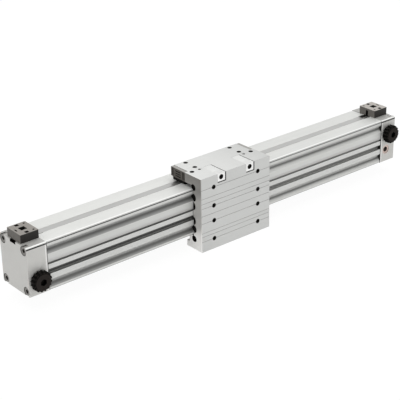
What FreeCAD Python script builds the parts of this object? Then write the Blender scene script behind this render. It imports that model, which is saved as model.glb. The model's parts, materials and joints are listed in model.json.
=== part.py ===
import FreeCAD, Part
import os
import re
import Sketcher
from FreeCAD import Placement, Rotation, Vector

# Rodless pneumatic cylinder: a grooved barrel with a slot along its top, closed by an inner
# and an outer band, two end caps with their ports, and a carriage that the piston drives
# through the slot. The carriage hangs over the front of the barrel and runs on two guide
# bars in its V grooves.
# X runs along the barrel, -Y is the side of the carriage's plate, +Z is up. The origin is
# half way along the barrel, on the bore's plane, at the underside of the end caps.
# A sub-part of an end is drawn from the outside of its cap inwards, and the right one is the
# left one turned half round about Z. The carriage's pieces are drawn about its middle.

SIZES = [
    ("total_length", 500, "over both end caps"),
    ("cap_length", 22, "along the barrel"),
    ("cap_width", 47, "across the barrel"),
    ("cap_height", 52, "underside to top"),
    ("cap_round", 0.8, "radius on the edges of a cap"),
    ("fit_gap", 0.05, "between pieces that are pushed together"),
    ("running_gap", 0.08, "between a turned piece and the bore it moves in"),
    ("free_gap", 0.3, "between the carriage's pieces and the fixed ones"),
    ("bore_radius", 16, "of the barrel's bore"),
    ("bore_height", 24, "bore's axis above the underside"),
    ("barrel_inset", 0.3, "barrel's outline inside the cap's"),
    ("barrel_round", 1.0, "radius on the barrel's long edges"),
    ("groove_low", 7.2, "middle of the lower guide groove above the underside"),
    ("groove_high", 9.2, "middle of the upper guide groove below the top"),
    ("groove_half", 4.2, "half the mouth of a guide groove"),
    ("groove_deep", 3.6, "depth of a guide groove"),
    ("slot_width", 4.8, "slot that the yoke runs in"),
    ("band_seat_width", 8.4, "seat of the outer band"),
    ("band_seat_deep", 1.0, "depth of that seat"),
    ("band_width", 7.7, "outer band"),
    ("band_thick", 1.1, "outer band"),
    ("inner_band_width", 8, "inner band"),
    ("inner_band_thick", 0.4, "inner band"),
    ("side_slot_height", 19.8, "middle of the side slot for slot nuts"),
    ("side_slot_mouth", 5.2, "opening of that slot"),
    ("side_slot_lip", 1.8, "thickness of its lips"),
    ("side_slot_inside", 7.4, "width behind the lips"),
    ("side_slot_deep", 4.2, "full depth"),
    ("sensor_slot_height", 28.5, "middle of the narrow slot"),
    ("sensor_slot_mouth", 2.1, "opening of the narrow slot"),
    ("sensor_slot_deep", 2.4, "depth of the narrow slot"),
    ("edge_line_drop", 2, "fine line along both sides, below the top of a cap"),
    ("edge_line", 0.5, "half width and depth of that line"),
    ("screw_side", 18, "corner screws from the bore's plane"),
    ("screw_low", 4.5, "corner screws from the underside and the top"),
    ("screw_radius", 2.1, "corner screw, at the core of its thread"),
    ("screw_gap", 0.4, "corner screw in the cap"),
    ("screw_head_radius", 4.25, "its head"),
    ("screw_head", 5, "height of its head"),
    ("screw_key", 4, "across the flats of its socket"),
    ("screw_reach", 18, "length of thread in the barrel"),
    ("counterbore_radius", 4.9, "for the head"),
    ("counterbore_deep", 5.5, "for the head"),
    ("channel_width", 9.6, "band's channel in the top of a cap"),
    ("channel_deep", 2.6, "depth of that channel"),
    ("channel_run", 9, "how far it runs on into the barrel"),
    ("port_radius", 5.9, "G1/4 port"),
    ("port_deep", 12, "threaded length of a port"),
    ("port_low", 16, "height of the lower port"),
    ("port_high", 34.5, "height of the upper port"),
    ("airway_radius", 2, "from a port to the bore"),
    ("airway_side", 6, "airway from the bore's plane"),
    ("register_length", 10, "boss of a cap in the bore"),
    ("seal_groove_width", 2.6, "ring groove on that boss"),
    ("seal_groove_deep", 2, "ring groove on that boss"),
    ("tube_radius", 6, "cushion tube"),
    ("tube_hole", 3, "its bore"),
    ("tube_length", 20, "in front of the boss"),
    ("tube_root", 6, "in the boss"),
    ("needle_along", 13, "cushion screw from the end of the cap"),
    ("needle_height", 14.5, "cushion screw above the underside"),
    ("needle_radius", 3, "cushion screw"),
    ("needle_length", 11, "cushion screw"),
    ("needle_ring_radius", 5, "countersink round it"),
    ("needle_ring_deep", 1, "countersink round it"),
    ("needle_sink", 1.2, "cushion screw below that countersink"),
    ("foot_side", 12, "mounting holes from the bore's plane"),
    ("foot_radius", 2.5, "mounting holes, cut for M6"),
    ("foot_deep", 8, "mounting holes"),
    ("knob_radius", 10.6, "hand knob of a port plug"),
    ("knob_length", 7.2, "hand knob of a port plug"),
    ("knob_root", 9.6, "radius at the bottom of its grooves"),
    ("knob_groove_radius", 1.6, "its grip grooves"),
    ("knob_key", 6, "across the flats of its socket"),
    ("washer_radius", 8.6, "sealing washer under the knob"),
    ("washer_thick", 1.2, "sealing washer under the knob"),
    ("cover_length", 20.2, "band cover along the barrel"),
    ("cover_width", 24, "band cover"),
    ("cover_height", 8.7, "band cover"),
    ("cover_wall", 2.4, "wall at the top of the cover"),
    ("cover_mouth_width", 3.2, "slit in its inner face"),
    ("cover_mouth_height", 6.4, "slit in its inner face"),
    ("cover_screw_along", 9, "cover screws from the cover's outer face"),
    ("cover_screw_side", 9, "cover screws from the bore's plane"),
    ("cover_screw_radius", 1.5, "cover screws"),
    ("cover_screw_reach", 4, "cover screws in the cap"),
    ("clamp_screw_radius", 2, "screw that presses the band down"),
    ("clamp_well_half", 3.2, "half the width of the square well over that screw"),
    ("clamp_well_deep", 5.6, "depth of that well"),
    ("clamp_length", 15, "plate that presses the band down"),
    ("carriage_length", 93, "along the barrel"),
    ("carriage_rest", -5, "middle of the carriage at rest"),
    ("carriage_front", 37.3, "plate's front face from the bore's plane"),
    ("carriage_back", 11.4, "top's back edge from the bore's plane"),
    ("plate_drop", 15.7, "plate's foot below the underside"),
    ("plate_gap", 0.8, "plate's lands off the barrel"),
    ("top_gap", 4.3, "carriage's top above the barrel"),
    ("top_thick", 10.4, "top of the carriage"),
    ("tunnel_roof", 3.4, "top above the yoke"),
    ("tunnel_half", 10.5, "half width of the yoke's tunnel"),
    ("corner_channel_radius", 3.6, "round channels at the plate's inner corners"),
    ("corner_channel_side", 24.6, "those channels from the bore's plane"),
    ("row_outer", 29, "outer rows of holes from the guide middle"),
    ("row_inner", 8.4, "inner rows of holes from the guide middle"),
    ("guide_socket_radius", 4.5, "socket of a guide bar"),
    ("relief_radius", 5, "hollows behind the inner rows"),
    ("relief_side", 22.7, "middle of those hollows"),
    ("lip_tip", 12.7, "end of the lower lip from the bore's plane"),
    ("lip_step", 17, "where the lip gets thinner"),
    ("lip_thin", 6.5, "thickness of its end"),
    ("lip_gap", 1.0, "lip below the barrel"),
    ("front_line", 0.35, "fine lines along the plate, depth and half width"),
    ("plate_hole_radius", 2.5, "holes of the plate and top, cut for M6"),
    ("hole_spacing", 60, "holes of the plate and top along the barrel"),
    ("top_hole_spacing", 15, "top's holes across the barrel"),
    ("top_side", 15, "outer holes of the top from the bore's plane"),
    ("top_end_spacing", 80, "pin holes near the ends of the top"),
    ("pin_hole_radius", 2.5, "pin holes near the ends of the top"),
    ("pin_hole_deep", 7, "pin holes near the ends of the top"),
    ("lock_radius", 3, "flush screws in the top"),
    ("lock_length", 6, "flush screws in the top"),
    ("dog_spacing", 38.6, "driver dogs along the barrel"),
    ("dog_width", 10.6, "driver dog"),
    ("dog_block", 10.4, "front block of a driver dog"),
    ("dog_bar", 4, "height of its bar"),
    ("dog_back", 13.5, "inner end of its bar from the bore's plane"),
    ("dog_line_back", 8.8, "fine line across its top, from its front face"),
    ("dog_line", 0.3, "depth and half width of that line"),
    ("dog_gap", 0.6, "open side and bottom of its seat"),
    ("dog_screw_radius", 2.7, "screw in a driver dog"),
    ("yoke_half", 20, "half the length of the yoke's neck"),
    ("neck_gap", 0.3, "neck to the slot's walls"),
    ("yoke_bridge", 2.4, "floor under the raised band"),
    ("band_tunnel", 9, "width of the bands' tunnels in the yoke"),
    ("band_tunnel_height", 3, "height of the bands' tunnels in the yoke"),
    ("beam_half", 50, "half the length between the pistons"),
    ("beam_radius", 14.5, "beam between the pistons"),
    ("beam_flat", 7.5, "flat of that beam above the bore's axis"),
    ("cheek_half", 9, "half width of the yoke inside the bore"),
    ("cheek_reach", 11.8, "top of the yoke's cheeks above the bore's axis"),
    ("piston_length", 40, "each piston"),
    ("piston_radius", 15.6, "each piston"),
    ("cushion_radius", 7.2, "cushion bore of a piston"),
    ("cushion_deep", 24, "cushion bore of a piston"),
    ("cushion_seal_radius", 9.4, "seat of the cushion seal"),
    ("cushion_seal_width", 3, "cushion seal"),
    ("cushion_seal_back", 1.2, "cushion seal from the piston's nose"),
    ("seal_width", 4, "piston seal"),
    ("seal_deep", 3, "its groove"),
    ("seal_back", 7, "piston seal from the piston's nose"),
    ("wear_width", 8, "wear ring"),
    ("wear_deep", 1.2, "its groove"),
    ("wear_back", 15, "wear ring from the piston's nose"),
    ("magnet_width", 4, "magnet ring"),
    ("magnet_deep", 3.4, "its groove"),
    ("magnet_back", 29, "magnet ring from the piston's nose"),
    ("bolt_radius", 3, "bolt of a piston"),
    ("bolt_head_radius", 5, "bolt of a piston"),
    ("bolt_head", 4, "bolt of a piston"),
    ("bolt_reach", 12, "bolt's length in the beam"),
    ("wiper_length", 10, "end piece in the carriage's tunnel"),
    ("flange_length", 4, "its flange, let into the end of the carriage's top"),
    ("flange_half", 11.3, "half the width of the flange"),
    ("flange_drop", 0.3, "flange below the carriage's top"),
    ("flange_slot_deep", 1.5, "slots in its face"),
    ("lip_inset", 1, "wiper lip behind the end piece's face"),
    ("lip_length", 6, "wiper lip"),
    ("band_ramp", 15, "length over which the outer band rises"),
    ("inner_ramp", 24, "length over which the inner band dips"),
]

GRIP_COUNT = 16
PLANES = {"XY": "XY_Plane", "XZ": "XZ_Plane", "YZ": "YZ_Plane"}
NAMES = re.compile(r"\b(" + "|".join(alias for alias, size, note in SIZES) + r")\b")
SMALL = 1e-7

doc = FreeCAD.newDocument("rodless_cylinder")
sheet = doc.addObject("Spreadsheet::Sheet", "sizes")
for row, (alias, size, note) in enumerate(SIZES, start=1):
    sheet.set(f"A{row}", alias)
    sheet.set(f"B{row}", str(size))
    sheet.set(f"C{row}", note)
    sheet.setAlias(f"B{row}", alias)
doc.recompute()


def tied(text):
    """The expression with each size's name pointing at its cell of the sheet."""
    return NAMES.sub(r"sizes.\1", str(text))


def number(text):
    """What an expression comes to now."""
    return float(sheet.evalExpression(tied(text)))


def less(text):
    """The same distance, the other way."""
    return f"-({text})"


class Piece:
    """One sub-part: a body whose sketches and features are tied to the sheet."""

    made = []

    def __init__(self, label):
        self.body = doc.addObject("PartDesign::Body", label)
        self.body.Label = label
        self.body.Placement = Placement()
        self.cuts = []
        Piece.made.append(self)

    def sketch(self, plane, across="0", up="0", out="0"):
        """A sketch on one of the body's planes, moved in the plane and out along its normal."""
        drawn = self.body.newObject("Sketcher::SketchObject", "outline")
        role = PLANES[plane]
        face = [item for item in self.body.Origin.OriginFeatures if item.Role == role][0]
        drawn.AttachmentSupport = [(face, "")]
        drawn.MapMode = "FlatFace"
        for axis, text in (("x", across), ("y", up), ("z", out)):
            if text != "0":
                drawn.setExpression(f"AttachmentOffset.Base.{axis}", tied(text))
        return drawn

    def pad(self, drawn, length, both=False, back=False):
        """Material along the sketch's normal, or half each way."""
        feature = self.body.newObject("PartDesign::Pad", "pad")
        feature.Profile = drawn
        feature.setExpression("Length", tied(length))
        feature.SideType = "Symmetric" if both else "One side"
        feature.Reversed = back
        self.body.Tip = feature
        return feature

    def cut(self, drawn, length=None, both=False, back=False):
        """A pocket against the sketch's normal, of a length or right through both ways."""
        feature = self.body.newObject("PartDesign::Pocket", "cut")
        feature.Profile = drawn
        if length is None:
            feature.Type = "ThroughAll"
            feature.SideType = "Symmetric"
        else:
            feature.setExpression("Length", tied(length))
            feature.SideType = "Symmetric" if both else "One side"
            feature.Reversed = back
        self.body.Tip = feature
        self.cuts.append(feature)
        return feature

    def turn(self, drawn, axis="H_Axis"):
        """A revolution about one of the sketch's own axes."""
        feature = self.body.newObject("PartDesign::Revolution", "turned")
        feature.Profile = drawn
        feature.ReferenceAxis = (drawn, [axis])
        feature.Angle = 360
        self.body.Tip = feature
        return feature

    def round_edges(self, radius, chosen=None):
        """A radius on every edge, or on those that the test chooses."""
        doc.recompute()
        base = self.body.Tip
        edges = base.Shape.Edges
        names = [f"Edge{n}" for n, edge in enumerate(edges, start=1) if chosen is None or chosen(edge)]
        feature = self.body.newObject("PartDesign::Fillet", "rounded")
        feature.Base = (base, names)
        feature.setExpression("Radius", tied(radius))
        self.body.Tip = feature
        return feature

    def place(self, along="0", across="0", up="0", turned=0):
        """Move the finished piece, after turning it about Z."""
        self.body.Placement = Placement(Vector(), Rotation(Vector(0, 0, 1), turned))
        for axis, text in (("x", along), ("y", across), ("z", up)):
            if text != "0":
                self.body.setExpression(f"Placement.Base.{axis}", tied(text))
        return self


def pin(drawn, shape, point, across, up):
    """Hold a point of a sketch at two distances from its origin."""
    for kind, axis, text in (("DistanceX", -2, across), ("DistanceY", -1, up)):
        distance = number(text)
        if abs(distance) < SMALL:
            drawn.addConstraint(Sketcher.Constraint("PointOnObject", shape, point, axis))
        else:
            held = drawn.addConstraint(Sketcher.Constraint(kind, -1, 1, shape, point, distance))
            drawn.setExpression(f"Constraints[{held}]", tied(text))


def polygon(drawn, corners):
    """A closed outline of straight lines through corners given as two expressions."""
    spots = [Vector(number(across), number(up), 0) for across, up in corners]
    first = drawn.GeometryCount
    count = len(corners)
    for step in range(count):
        drawn.addGeometry(Part.LineSegment(spots[step], spots[(step + 1) % count]))
    for step in range(count):
        after = first + (step + 1) % count
        drawn.addConstraint(Sketcher.Constraint("Coincident", first + step, 2, after, 1))
    for step, (across, up) in enumerate(corners):
        pin(drawn, first + step, 1, across, up)
    return drawn


def rectangle(drawn, left, low, right, high):
    """A rectangle between two corners."""
    return polygon(drawn, [(left, low), (right, low), (right, high), (left, high)])


def circle(drawn, across, up, radius):
    """A circle about a point."""
    middle = Vector(number(across), number(up), 0)
    shape = drawn.addGeometry(Part.Circle(middle, Vector(0, 0, 1), number(radius)))
    held = drawn.addConstraint(Sketcher.Constraint("Radius", shape, number(radius)))
    drawn.setExpression(f"Constraints[{held}]", tied(radius))
    pin(drawn, shape, 3, across, up)
    return drawn


def hexagon(drawn, across, up, flats):
    """A hexagon about a point, of a size over its flats."""
    side = f"({flats}) / 2"
    far = f"({flats}) / sqrt(3)"
    near = f"({flats}) / (2 * sqrt(3))"
    return polygon(drawn, [
        (f"{across} + {far}", up), (f"{across} + {near}", f"{up} + {side}"),
        (f"{across} - {near}", f"{up} + {side}"), (f"{across} - {far}", up),
        (f"{across} - {near}", f"{up} - {side}"), (f"{across} + {near}", f"{up} - {side}")])


def ring(piece, start, end, inside, outside):
    """A ring about the bore's axis, from start to end along it."""
    drawn = piece.sketch("XZ", up="bore_height")
    rectangle(drawn, start, inside, end, outside)
    return piece.turn(drawn)


SIDES = (("left", "-total_length / 2", 0), ("right", "total_length / 2", 180))
HALVES = (("left", 180), ("right", 0))
CORNERS = [(f"{sign}screw_side", height) for sign in ("-", "")
           for height in ("screw_low", "(cap_height - screw_low)")]
BARREL_TOP = "(cap_height - barrel_inset)"
BARREL_HALF = "(cap_width / 2 - barrel_inset)"
BARREL_LENGTH = "(total_length - 2 * cap_length)"
GROOVE_TOP = "(cap_height - groove_high)"
GUIDE_MIDDLE = "((cap_height - groove_high + groove_low) / 2)"
GROOVE_REACH = "((cap_height - groove_high - groove_low) / 2)"
UNDER_TOP = "(cap_height - barrel_inset + top_gap)"
PLATE_TOP = "(cap_height - barrel_inset + top_gap + top_thick)"
ROOF = "(cap_height - barrel_inset + top_gap + top_thick - tunnel_roof)"
LANDS = "-(cap_width / 2 - barrel_inset + plate_gap)"
REGISTER = "(bore_radius - fit_gap)"
CHANNEL_FLOOR = "(cap_height - channel_deep)"
BAND_FLOOR = "(cap_height - barrel_inset - band_seat_deep + fit_gap)"
YOKE_FLOOR = "(cap_height - barrel_inset + 2 * free_gap)"
RAISED = "(cap_height - barrel_inset + 2 * free_gap + yoke_bridge + free_gap)"
HEAD_FLOOR = "(cap_height - barrel_inset + 2 * free_gap + yoke_bridge + band_tunnel_height)"
BEAM_TOP = "(bore_height + beam_flat)"
CHEEK_TOP = "(bore_height + cheek_reach)"
DIPPED = "(bore_height + beam_flat + 2 * free_gap)"
HEAD_HALF = "(carriage_length / 2 - wiper_length - 4 * fit_gap)"
NOSE = "(beam_half + piston_length)"


def side_line(height, half, deep):
    """Corners of a V line in the barrel's right side, from its lower to its upper edge."""
    return [(BARREL_HALF, f"{height} - {half}"), (f"{BARREL_HALF} - {deep}", height),
            (BARREL_HALF, f"{height} + {half}")]


def side_groove(height):
    """Corners of a guide groove in the barrel's right side: 45 degree flanks, narrow floor."""
    floor = f"{BARREL_HALF} - groove_deep"
    half = "(groove_half - groove_deep)"
    return [(BARREL_HALF, f"{height} - groove_half"), (floor, f"{height} - {half}"),
            (floor, f"{height} + {half}"), (BARREL_HALF, f"{height} + groove_half")]


def mirrored(corners):
    """The same corners on the other side, in the other order."""
    return [(less(across), up) for across, up in reversed(corners)]


def lengthwise(edge):
    """An edge that runs along X."""
    return abs(edge.Vertexes[0].X - edge.Vertexes[-1].X) > 1


def upright(edge):
    """An edge that runs along Z."""
    return abs(edge.Vertexes[0].Z - edge.Vertexes[-1].Z) > 1


def make_barrel():
    """The extruded profile: bore, slot, band seats, guide grooves, side and sensor slots."""
    piece = Piece("barrel")
    right = [(BARREL_HALF, "barrel_inset")]
    right += side_groove("groove_low")
    right += side_groove(GROOVE_TOP)
    right += side_line("cap_height - edge_line_drop", "edge_line", "edge_line")
    right += [(BARREL_HALF, BARREL_TOP), ("band_seat_width / 2", BARREL_TOP),
              ("band_seat_width / 2", f"{BARREL_TOP} - band_seat_deep")]
    outline = polygon(piece.sketch("YZ"), right + mirrored(right))
    piece.pad(outline, BARREL_LENGTH, both=True)
    half = number(BARREL_HALF)
    ends = (number("barrel_inset"), number(BARREL_TOP))

    def long_corner(edge):
        """An edge along X at one of the profile's four outer corners."""
        spot = edge.CenterOfMass
        high = min(abs(spot.z - end) for end in ends) < SMALL
        return lengthwise(edge) and high and abs(abs(spot.y) - half) < SMALL

    piece.round_edges("barrel_round", long_corner)
    piece.cut(circle(piece.sketch("YZ"), "0", "bore_height", "bore_radius"))
    slot = piece.sketch("YZ")
    slot_half = "slot_width / 2"
    rectangle(slot, less(slot_half), "bore_height", slot_half, BARREL_TOP)
    piece.cut(slot)
    seat = piece.sketch("YZ")
    seat_half = "(inner_band_width / 2 + 2 * fit_gap)"
    seat_top = "bore_height + bore_radius + inner_band_thick + 2 * fit_gap"
    rectangle(seat, less(seat_half), "bore_height", seat_half, seat_top)
    piece.cut(seat)
    mouth = "side_slot_mouth / 2"
    inside = "side_slot_inside / 2"
    lip = f"{BARREL_HALF} - side_slot_lip"
    back = f"{BARREL_HALF} - side_slot_deep"
    out = f"{BARREL_HALF} + 1"
    low = "side_slot_height"
    tee = [(out, f"{low} - {mouth}"), (out, f"{low} + {mouth}"), (lip, f"{low} + {mouth}"),
           (lip, f"{low} + {inside}"), (back, f"{low} + {inside}"), (back, f"{low} - {inside}"),
           (lip, f"{low} - {inside}"), (lip, f"{low} - {mouth}")]
    narrow = "sensor_slot_mouth / 2"
    thin_back = f"{BARREL_HALF} - sensor_slot_deep"
    high = "sensor_slot_height"
    thin = [(out, f"{high} - {narrow}"), (out, f"{high} + {narrow}"),
            (thin_back, f"{high} + {narrow}"), (thin_back, f"{high} - {narrow}")]
    slots = piece.sketch("YZ")
    for corners in (tee, thin):
        polygon(slots, corners)
        polygon(slots, mirrored(corners))
    piece.cut(slots)
    channels = piece.sketch("YZ")
    for across, up in CORNERS:
        circle(channels, across, up, "screw_radius + fit_gap")
    piece.cut(channels)
    dips = piece.sketch("XY", out=BARREL_TOP)
    for sign in ("-", ""):
        outer = f"{sign}({BARREL_LENGTH} / 2 + 1)"
        inner = f"{sign}({BARREL_LENGTH} / 2 - channel_run)"
        rectangle(dips, outer, "-channel_width / 2", inner, "channel_width / 2")
    piece.cut(dips, "channel_deep - barrel_inset")


def strip(label, width, thick, low):
    """A band drawn from the side: the corners of its underside, left to right, then its top."""
    piece = Piece(label)
    high = [(along, f"{up} + {thick}") for along, up in reversed(low)]
    piece.pad(polygon(piece.sketch("XZ"), low + high), width, both=True)


def make_bands():
    """The outer band lies in the top and is lifted over the yoke, the inner one dips below it."""
    end = "(total_length / 2 - cap_length / 2)"
    shoulder = "(total_length / 2 - cap_length)"
    floor = f"{CHANNEL_FLOOR} + fit_gap"
    foot = "(yoke_half + 1 + band_ramp)"
    crown = "(yoke_half + 1)"
    strip("outer_band", "band_width", "band_thick", [
        (less(end), floor), (less(shoulder), floor),
        (f"-({shoulder} - channel_run + 1)", BAND_FLOOR),
        (f"carriage_rest - {foot}", BAND_FLOOR), (f"carriage_rest - {crown}", RAISED),
        (f"carriage_rest + {crown}", RAISED), (f"carriage_rest + {foot}", BAND_FLOOR),
        (f"{shoulder} - channel_run + 1", BAND_FLOOR), (shoulder, floor), (end, floor)])
    line = "bore_height + bore_radius + fit_gap"
    far = f"({shoulder} - register_length - fit_gap)"
    foot = "(yoke_half + 2 + inner_ramp)"
    crown = "(yoke_half + 2)"
    strip("inner_band", "inner_band_width", "inner_band_thick", [
        (less(far), line), (f"carriage_rest - {foot}", line),
        (f"carriage_rest - {crown}", DIPPED), (f"carriage_rest + {crown}", DIPPED),
        (f"carriage_rest + {foot}", line), (far, line)])


def make_end_cap(side, along, turned):
    """A cap: block, register boss, band channel, corner holes, two ports, cushion screw hole."""
    piece = Piece(f"{side}_end_cap")
    block = piece.sketch("YZ")
    rectangle(block, "-cap_width / 2", "0", "cap_width / 2", "cap_height")
    piece.pad(block, "cap_length")
    piece.round_edges("cap_round", lengthwise)
    lines = piece.sketch("YZ")
    line = "(cap_height - edge_line_drop)"
    vee = [("cap_width / 2 + edge_line", f"{line} - 2 * edge_line"),
           ("cap_width / 2 - edge_line", line),
           ("cap_width / 2 + edge_line", f"{line} + 2 * edge_line")]
    polygon(lines, vee)
    polygon(lines, mirrored(vee))
    piece.cut(lines, "cap_length", back=True)
    boss = piece.sketch("XZ", up="bore_height")
    groove_start = "cap_length + register_length / 2 - seal_groove_width / 2"
    groove_end = "cap_length + register_length / 2 + seal_groove_width / 2"
    groove_floor = f"{REGISTER} - seal_groove_deep"
    nose = "cap_length + register_length"
    polygon(boss, [("cap_length - 1", "0"), ("cap_length - 1", REGISTER),
                   (groove_start, REGISTER), (groove_start, groove_floor),
                   (groove_end, groove_floor), (groove_end, REGISTER),
                   (nose, REGISTER), (nose, "0")])
    piece.turn(boss)
    channel = piece.sketch("YZ")
    rectangle(channel, "-channel_width / 2", CHANNEL_FLOOR, "channel_width / 2", "cap_height + 1")
    piece.cut(channel, "cap_length", back=True)
    for radius, deep in (("counterbore_radius", "counterbore_deep"),
                         ("screw_radius + screw_gap", "cap_length")):
        holes = piece.sketch("YZ")
        for across, up in CORNERS:
            circle(holes, across, up, radius)
        piece.cut(holes, deep, back=True)
    for out, height, into, back in (("cap_width / 2", "port_low", "-airway_side", False),
                                    ("-cap_width / 2", "port_high", "airway_side", True)):
        port = piece.sketch("XZ", out=out)
        piece.cut(circle(port, "cap_length / 2", height, "port_radius"), "port_deep", back=back)
        port = piece.sketch("XZ", out=out)
        reach = "cap_width / 2 - airway_side + airway_radius"
        piece.cut(circle(port, "cap_length / 2", height, "airway_radius"), reach, back=back)
        airway = piece.sketch("YZ", out="cap_length / 2")
        circle(airway, into, height, "airway_radius")
        piece.cut(airway, "cap_length / 2 + register_length", back=True)
    for radius, deep in (("needle_ring_radius", "needle_ring_deep"),
                         ("needle_radius + running_gap", "needle_length + needle_ring_deep")):
        hole = piece.sketch("XZ", out="-cap_width / 2")
        piece.cut(circle(hole, "needle_along", "needle_height", radius), deep, back=True)
    feet = piece.sketch("XY")
    for sign in ("-", ""):
        circle(feet, "cap_length / 2", f"{sign}foot_side", "foot_radius")
    piece.cut(feet, "foot_deep", back=True)
    threads = piece.sketch("XY", out="cap_height")
    for sign in ("-", ""):
        circle(threads, "cap_length - cover_length + cover_screw_along",
               f"{sign}cover_screw_side", "cover_screw_radius + fit_gap")
    piece.cut(threads, "cover_screw_reach + 1")
    socket = piece.sketch("YZ", out=nose)
    circle(socket, "0", "bore_height", "tube_radius + fit_gap")
    piece.cut(socket, "tube_root")
    airport = piece.sketch("YZ", out=nose)
    circle(airport, "0", "bore_height", "tube_hole")
    piece.cut(airport, "tube_root + 4")
    piece.place(along=along, turned=turned)


def make_cap_screws(side, along, turned):
    """The four corner screws of a cap, with hexagon sockets."""
    piece = Piece(f"{side}_cap_screws")
    start = "(counterbore_deep - screw_head)"
    for radius, length in (("screw_head_radius", "screw_head"),
                           ("screw_radius", "screw_head + cap_length - counterbore_deep"
                                            " + screw_reach")):
        drawn = piece.sketch("YZ", out=start)
        for across, up in CORNERS:
            circle(drawn, across, up, radius)
        piece.pad(drawn, length)
    keys = piece.sketch("YZ", out=start)
    for across, up in CORNERS:
        hexagon(keys, across, up, "screw_key")
    piece.cut(keys, "screw_head / 2", back=True)
    piece.place(along=along, turned=turned)


def make_register_seal(side, along, turned):
    """The ring that seals a cap's boss in the bore."""
    piece = Piece(f"{side}_register_seal")
    half = "(seal_groove_width / 2 - fit_gap)"
    middle = "cap_length + register_length / 2"
    ring(piece, f"{middle} - {half}", f"{middle} + {half}",
         f"{REGISTER} - seal_groove_deep + fit_gap", "bore_radius - fit_gap / 2")
    piece.place(along=along, turned=turned)


def make_cushion_tube(side, along, turned):
    """The tube that enters the piston's cushion bore at the end of the stroke."""
    piece = Piece(f"{side}_cushion_tube")
    nose = "cap_length + register_length"
    tip = f"{nose} + tube_length"
    drawn = piece.sketch("XZ", up="bore_height")
    polygon(drawn, [(f"{nose} - tube_root + fit_gap", "tube_hole"), (tip, "tube_hole"),
                    (tip, "tube_radius - 0.6"), (f"{tip} - 3", "tube_radius - 0.6"),
                    (f"{tip} - 3", "tube_radius"),
                    (f"{nose} - tube_root + fit_gap", "tube_radius")])
    piece.turn(drawn)
    piece.place(along=along, turned=turned)


def make_cushion_screw(side, along, turned):
    """The slotted screw that sets the cushion, in the side of a cap."""
    piece = Piece(f"{side}_cushion_screw")
    drawn = piece.sketch("XY")
    tip = "needle_ring_deep + needle_length - free_gap"
    head = "(needle_ring_deep + needle_sink)"
    polygon(drawn, [("0", less(head)), ("needle_radius", less(head)),
                    ("needle_radius", f"-({tip} - 3)"), ("0.8", f"-({tip})"),
                    ("0", f"-({tip})")])
    piece.turn(drawn, "V_Axis")
    slot = piece.sketch("XZ", out=head)
    rectangle(slot, "-(needle_radius + 1)", "-0.5", "needle_radius + 1", "0.5")
    piece.cut(slot, "1.4", back=True)
    sign, spin = ("", 0) if turned == 0 else ("-", 180)
    piece.place(along=f"{along} + {sign}needle_along", across=f"{sign}cap_width / 2",
                up="needle_height", turned=spin)


def make_port_plug(side, along, height):
    """A hand plug in the front port: threaded stem, washer and knob with grip grooves."""
    piece = Piece(f"{side}_port_plug")
    drawn = piece.sketch("XY")
    seat = "-(free_gap + washer_thick)"
    face = "-(free_gap + washer_thick + knob_length)"
    stem = "port_radius - running_gap"
    polygon(drawn, [("0", "port_deep - 3"), (stem, "port_deep - 3"), (stem, seat),
                    ("knob_radius", seat), ("knob_radius", face), ("knob_radius - 3.6", face),
                    ("knob_radius - 3.6", f"{face} + 0.6"), ("0", f"{face} + 0.6")])
    piece.turn(drawn, "V_Axis")
    key = piece.sketch("XZ", out=less(face))
    hexagon(key, "0", "0", "knob_key")
    piece.cut(key, "knob_length / 2 + 1")
    groove = piece.sketch("XZ", out=less(face))
    circle(groove, "0", "knob_root + knob_groove_radius", "knob_groove_radius")
    one = piece.cut(groove, "knob_length")
    doc.recompute()
    pattern = piece.body.newObject("PartDesign::PolarPattern", "grip")
    pattern.Originals = [one]
    pattern.Axis = (groove, ["N_Axis"])
    pattern.Angle = 360
    pattern.Occurrences = GRIP_COUNT
    piece.body.Tip = pattern
    piece.cuts.append(pattern)
    piece.place(along=along, across="-cap_width / 2", up=height)
    washer = Piece(f"{side}_plug_washer")
    flat = washer.sketch("XY")
    rectangle(flat, f"{stem} + fit_gap", seat, "washer_radius", "-free_gap")
    washer.turn(flat, "V_Axis")
    washer.place(along=along, across="-cap_width / 2", up=height)


def make_blank_plug(side, along, height):
    """The flush socket plug that closes a cap's rear port."""
    piece = Piece(f"{side}_blank_plug")
    drawn = piece.sketch("XZ", out="-free_gap")
    circle(drawn, "0", "0", "port_radius - fit_gap")
    piece.pad(drawn, "port_deep * 3 / 4", back=True)
    key = piece.sketch("XZ", out="-free_gap")
    hexagon(key, "0", "0", "knob_key")
    piece.cut(key, "port_deep / 2")
    piece.place(along=along, across="cap_width / 2", up=height, turned=180)


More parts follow.
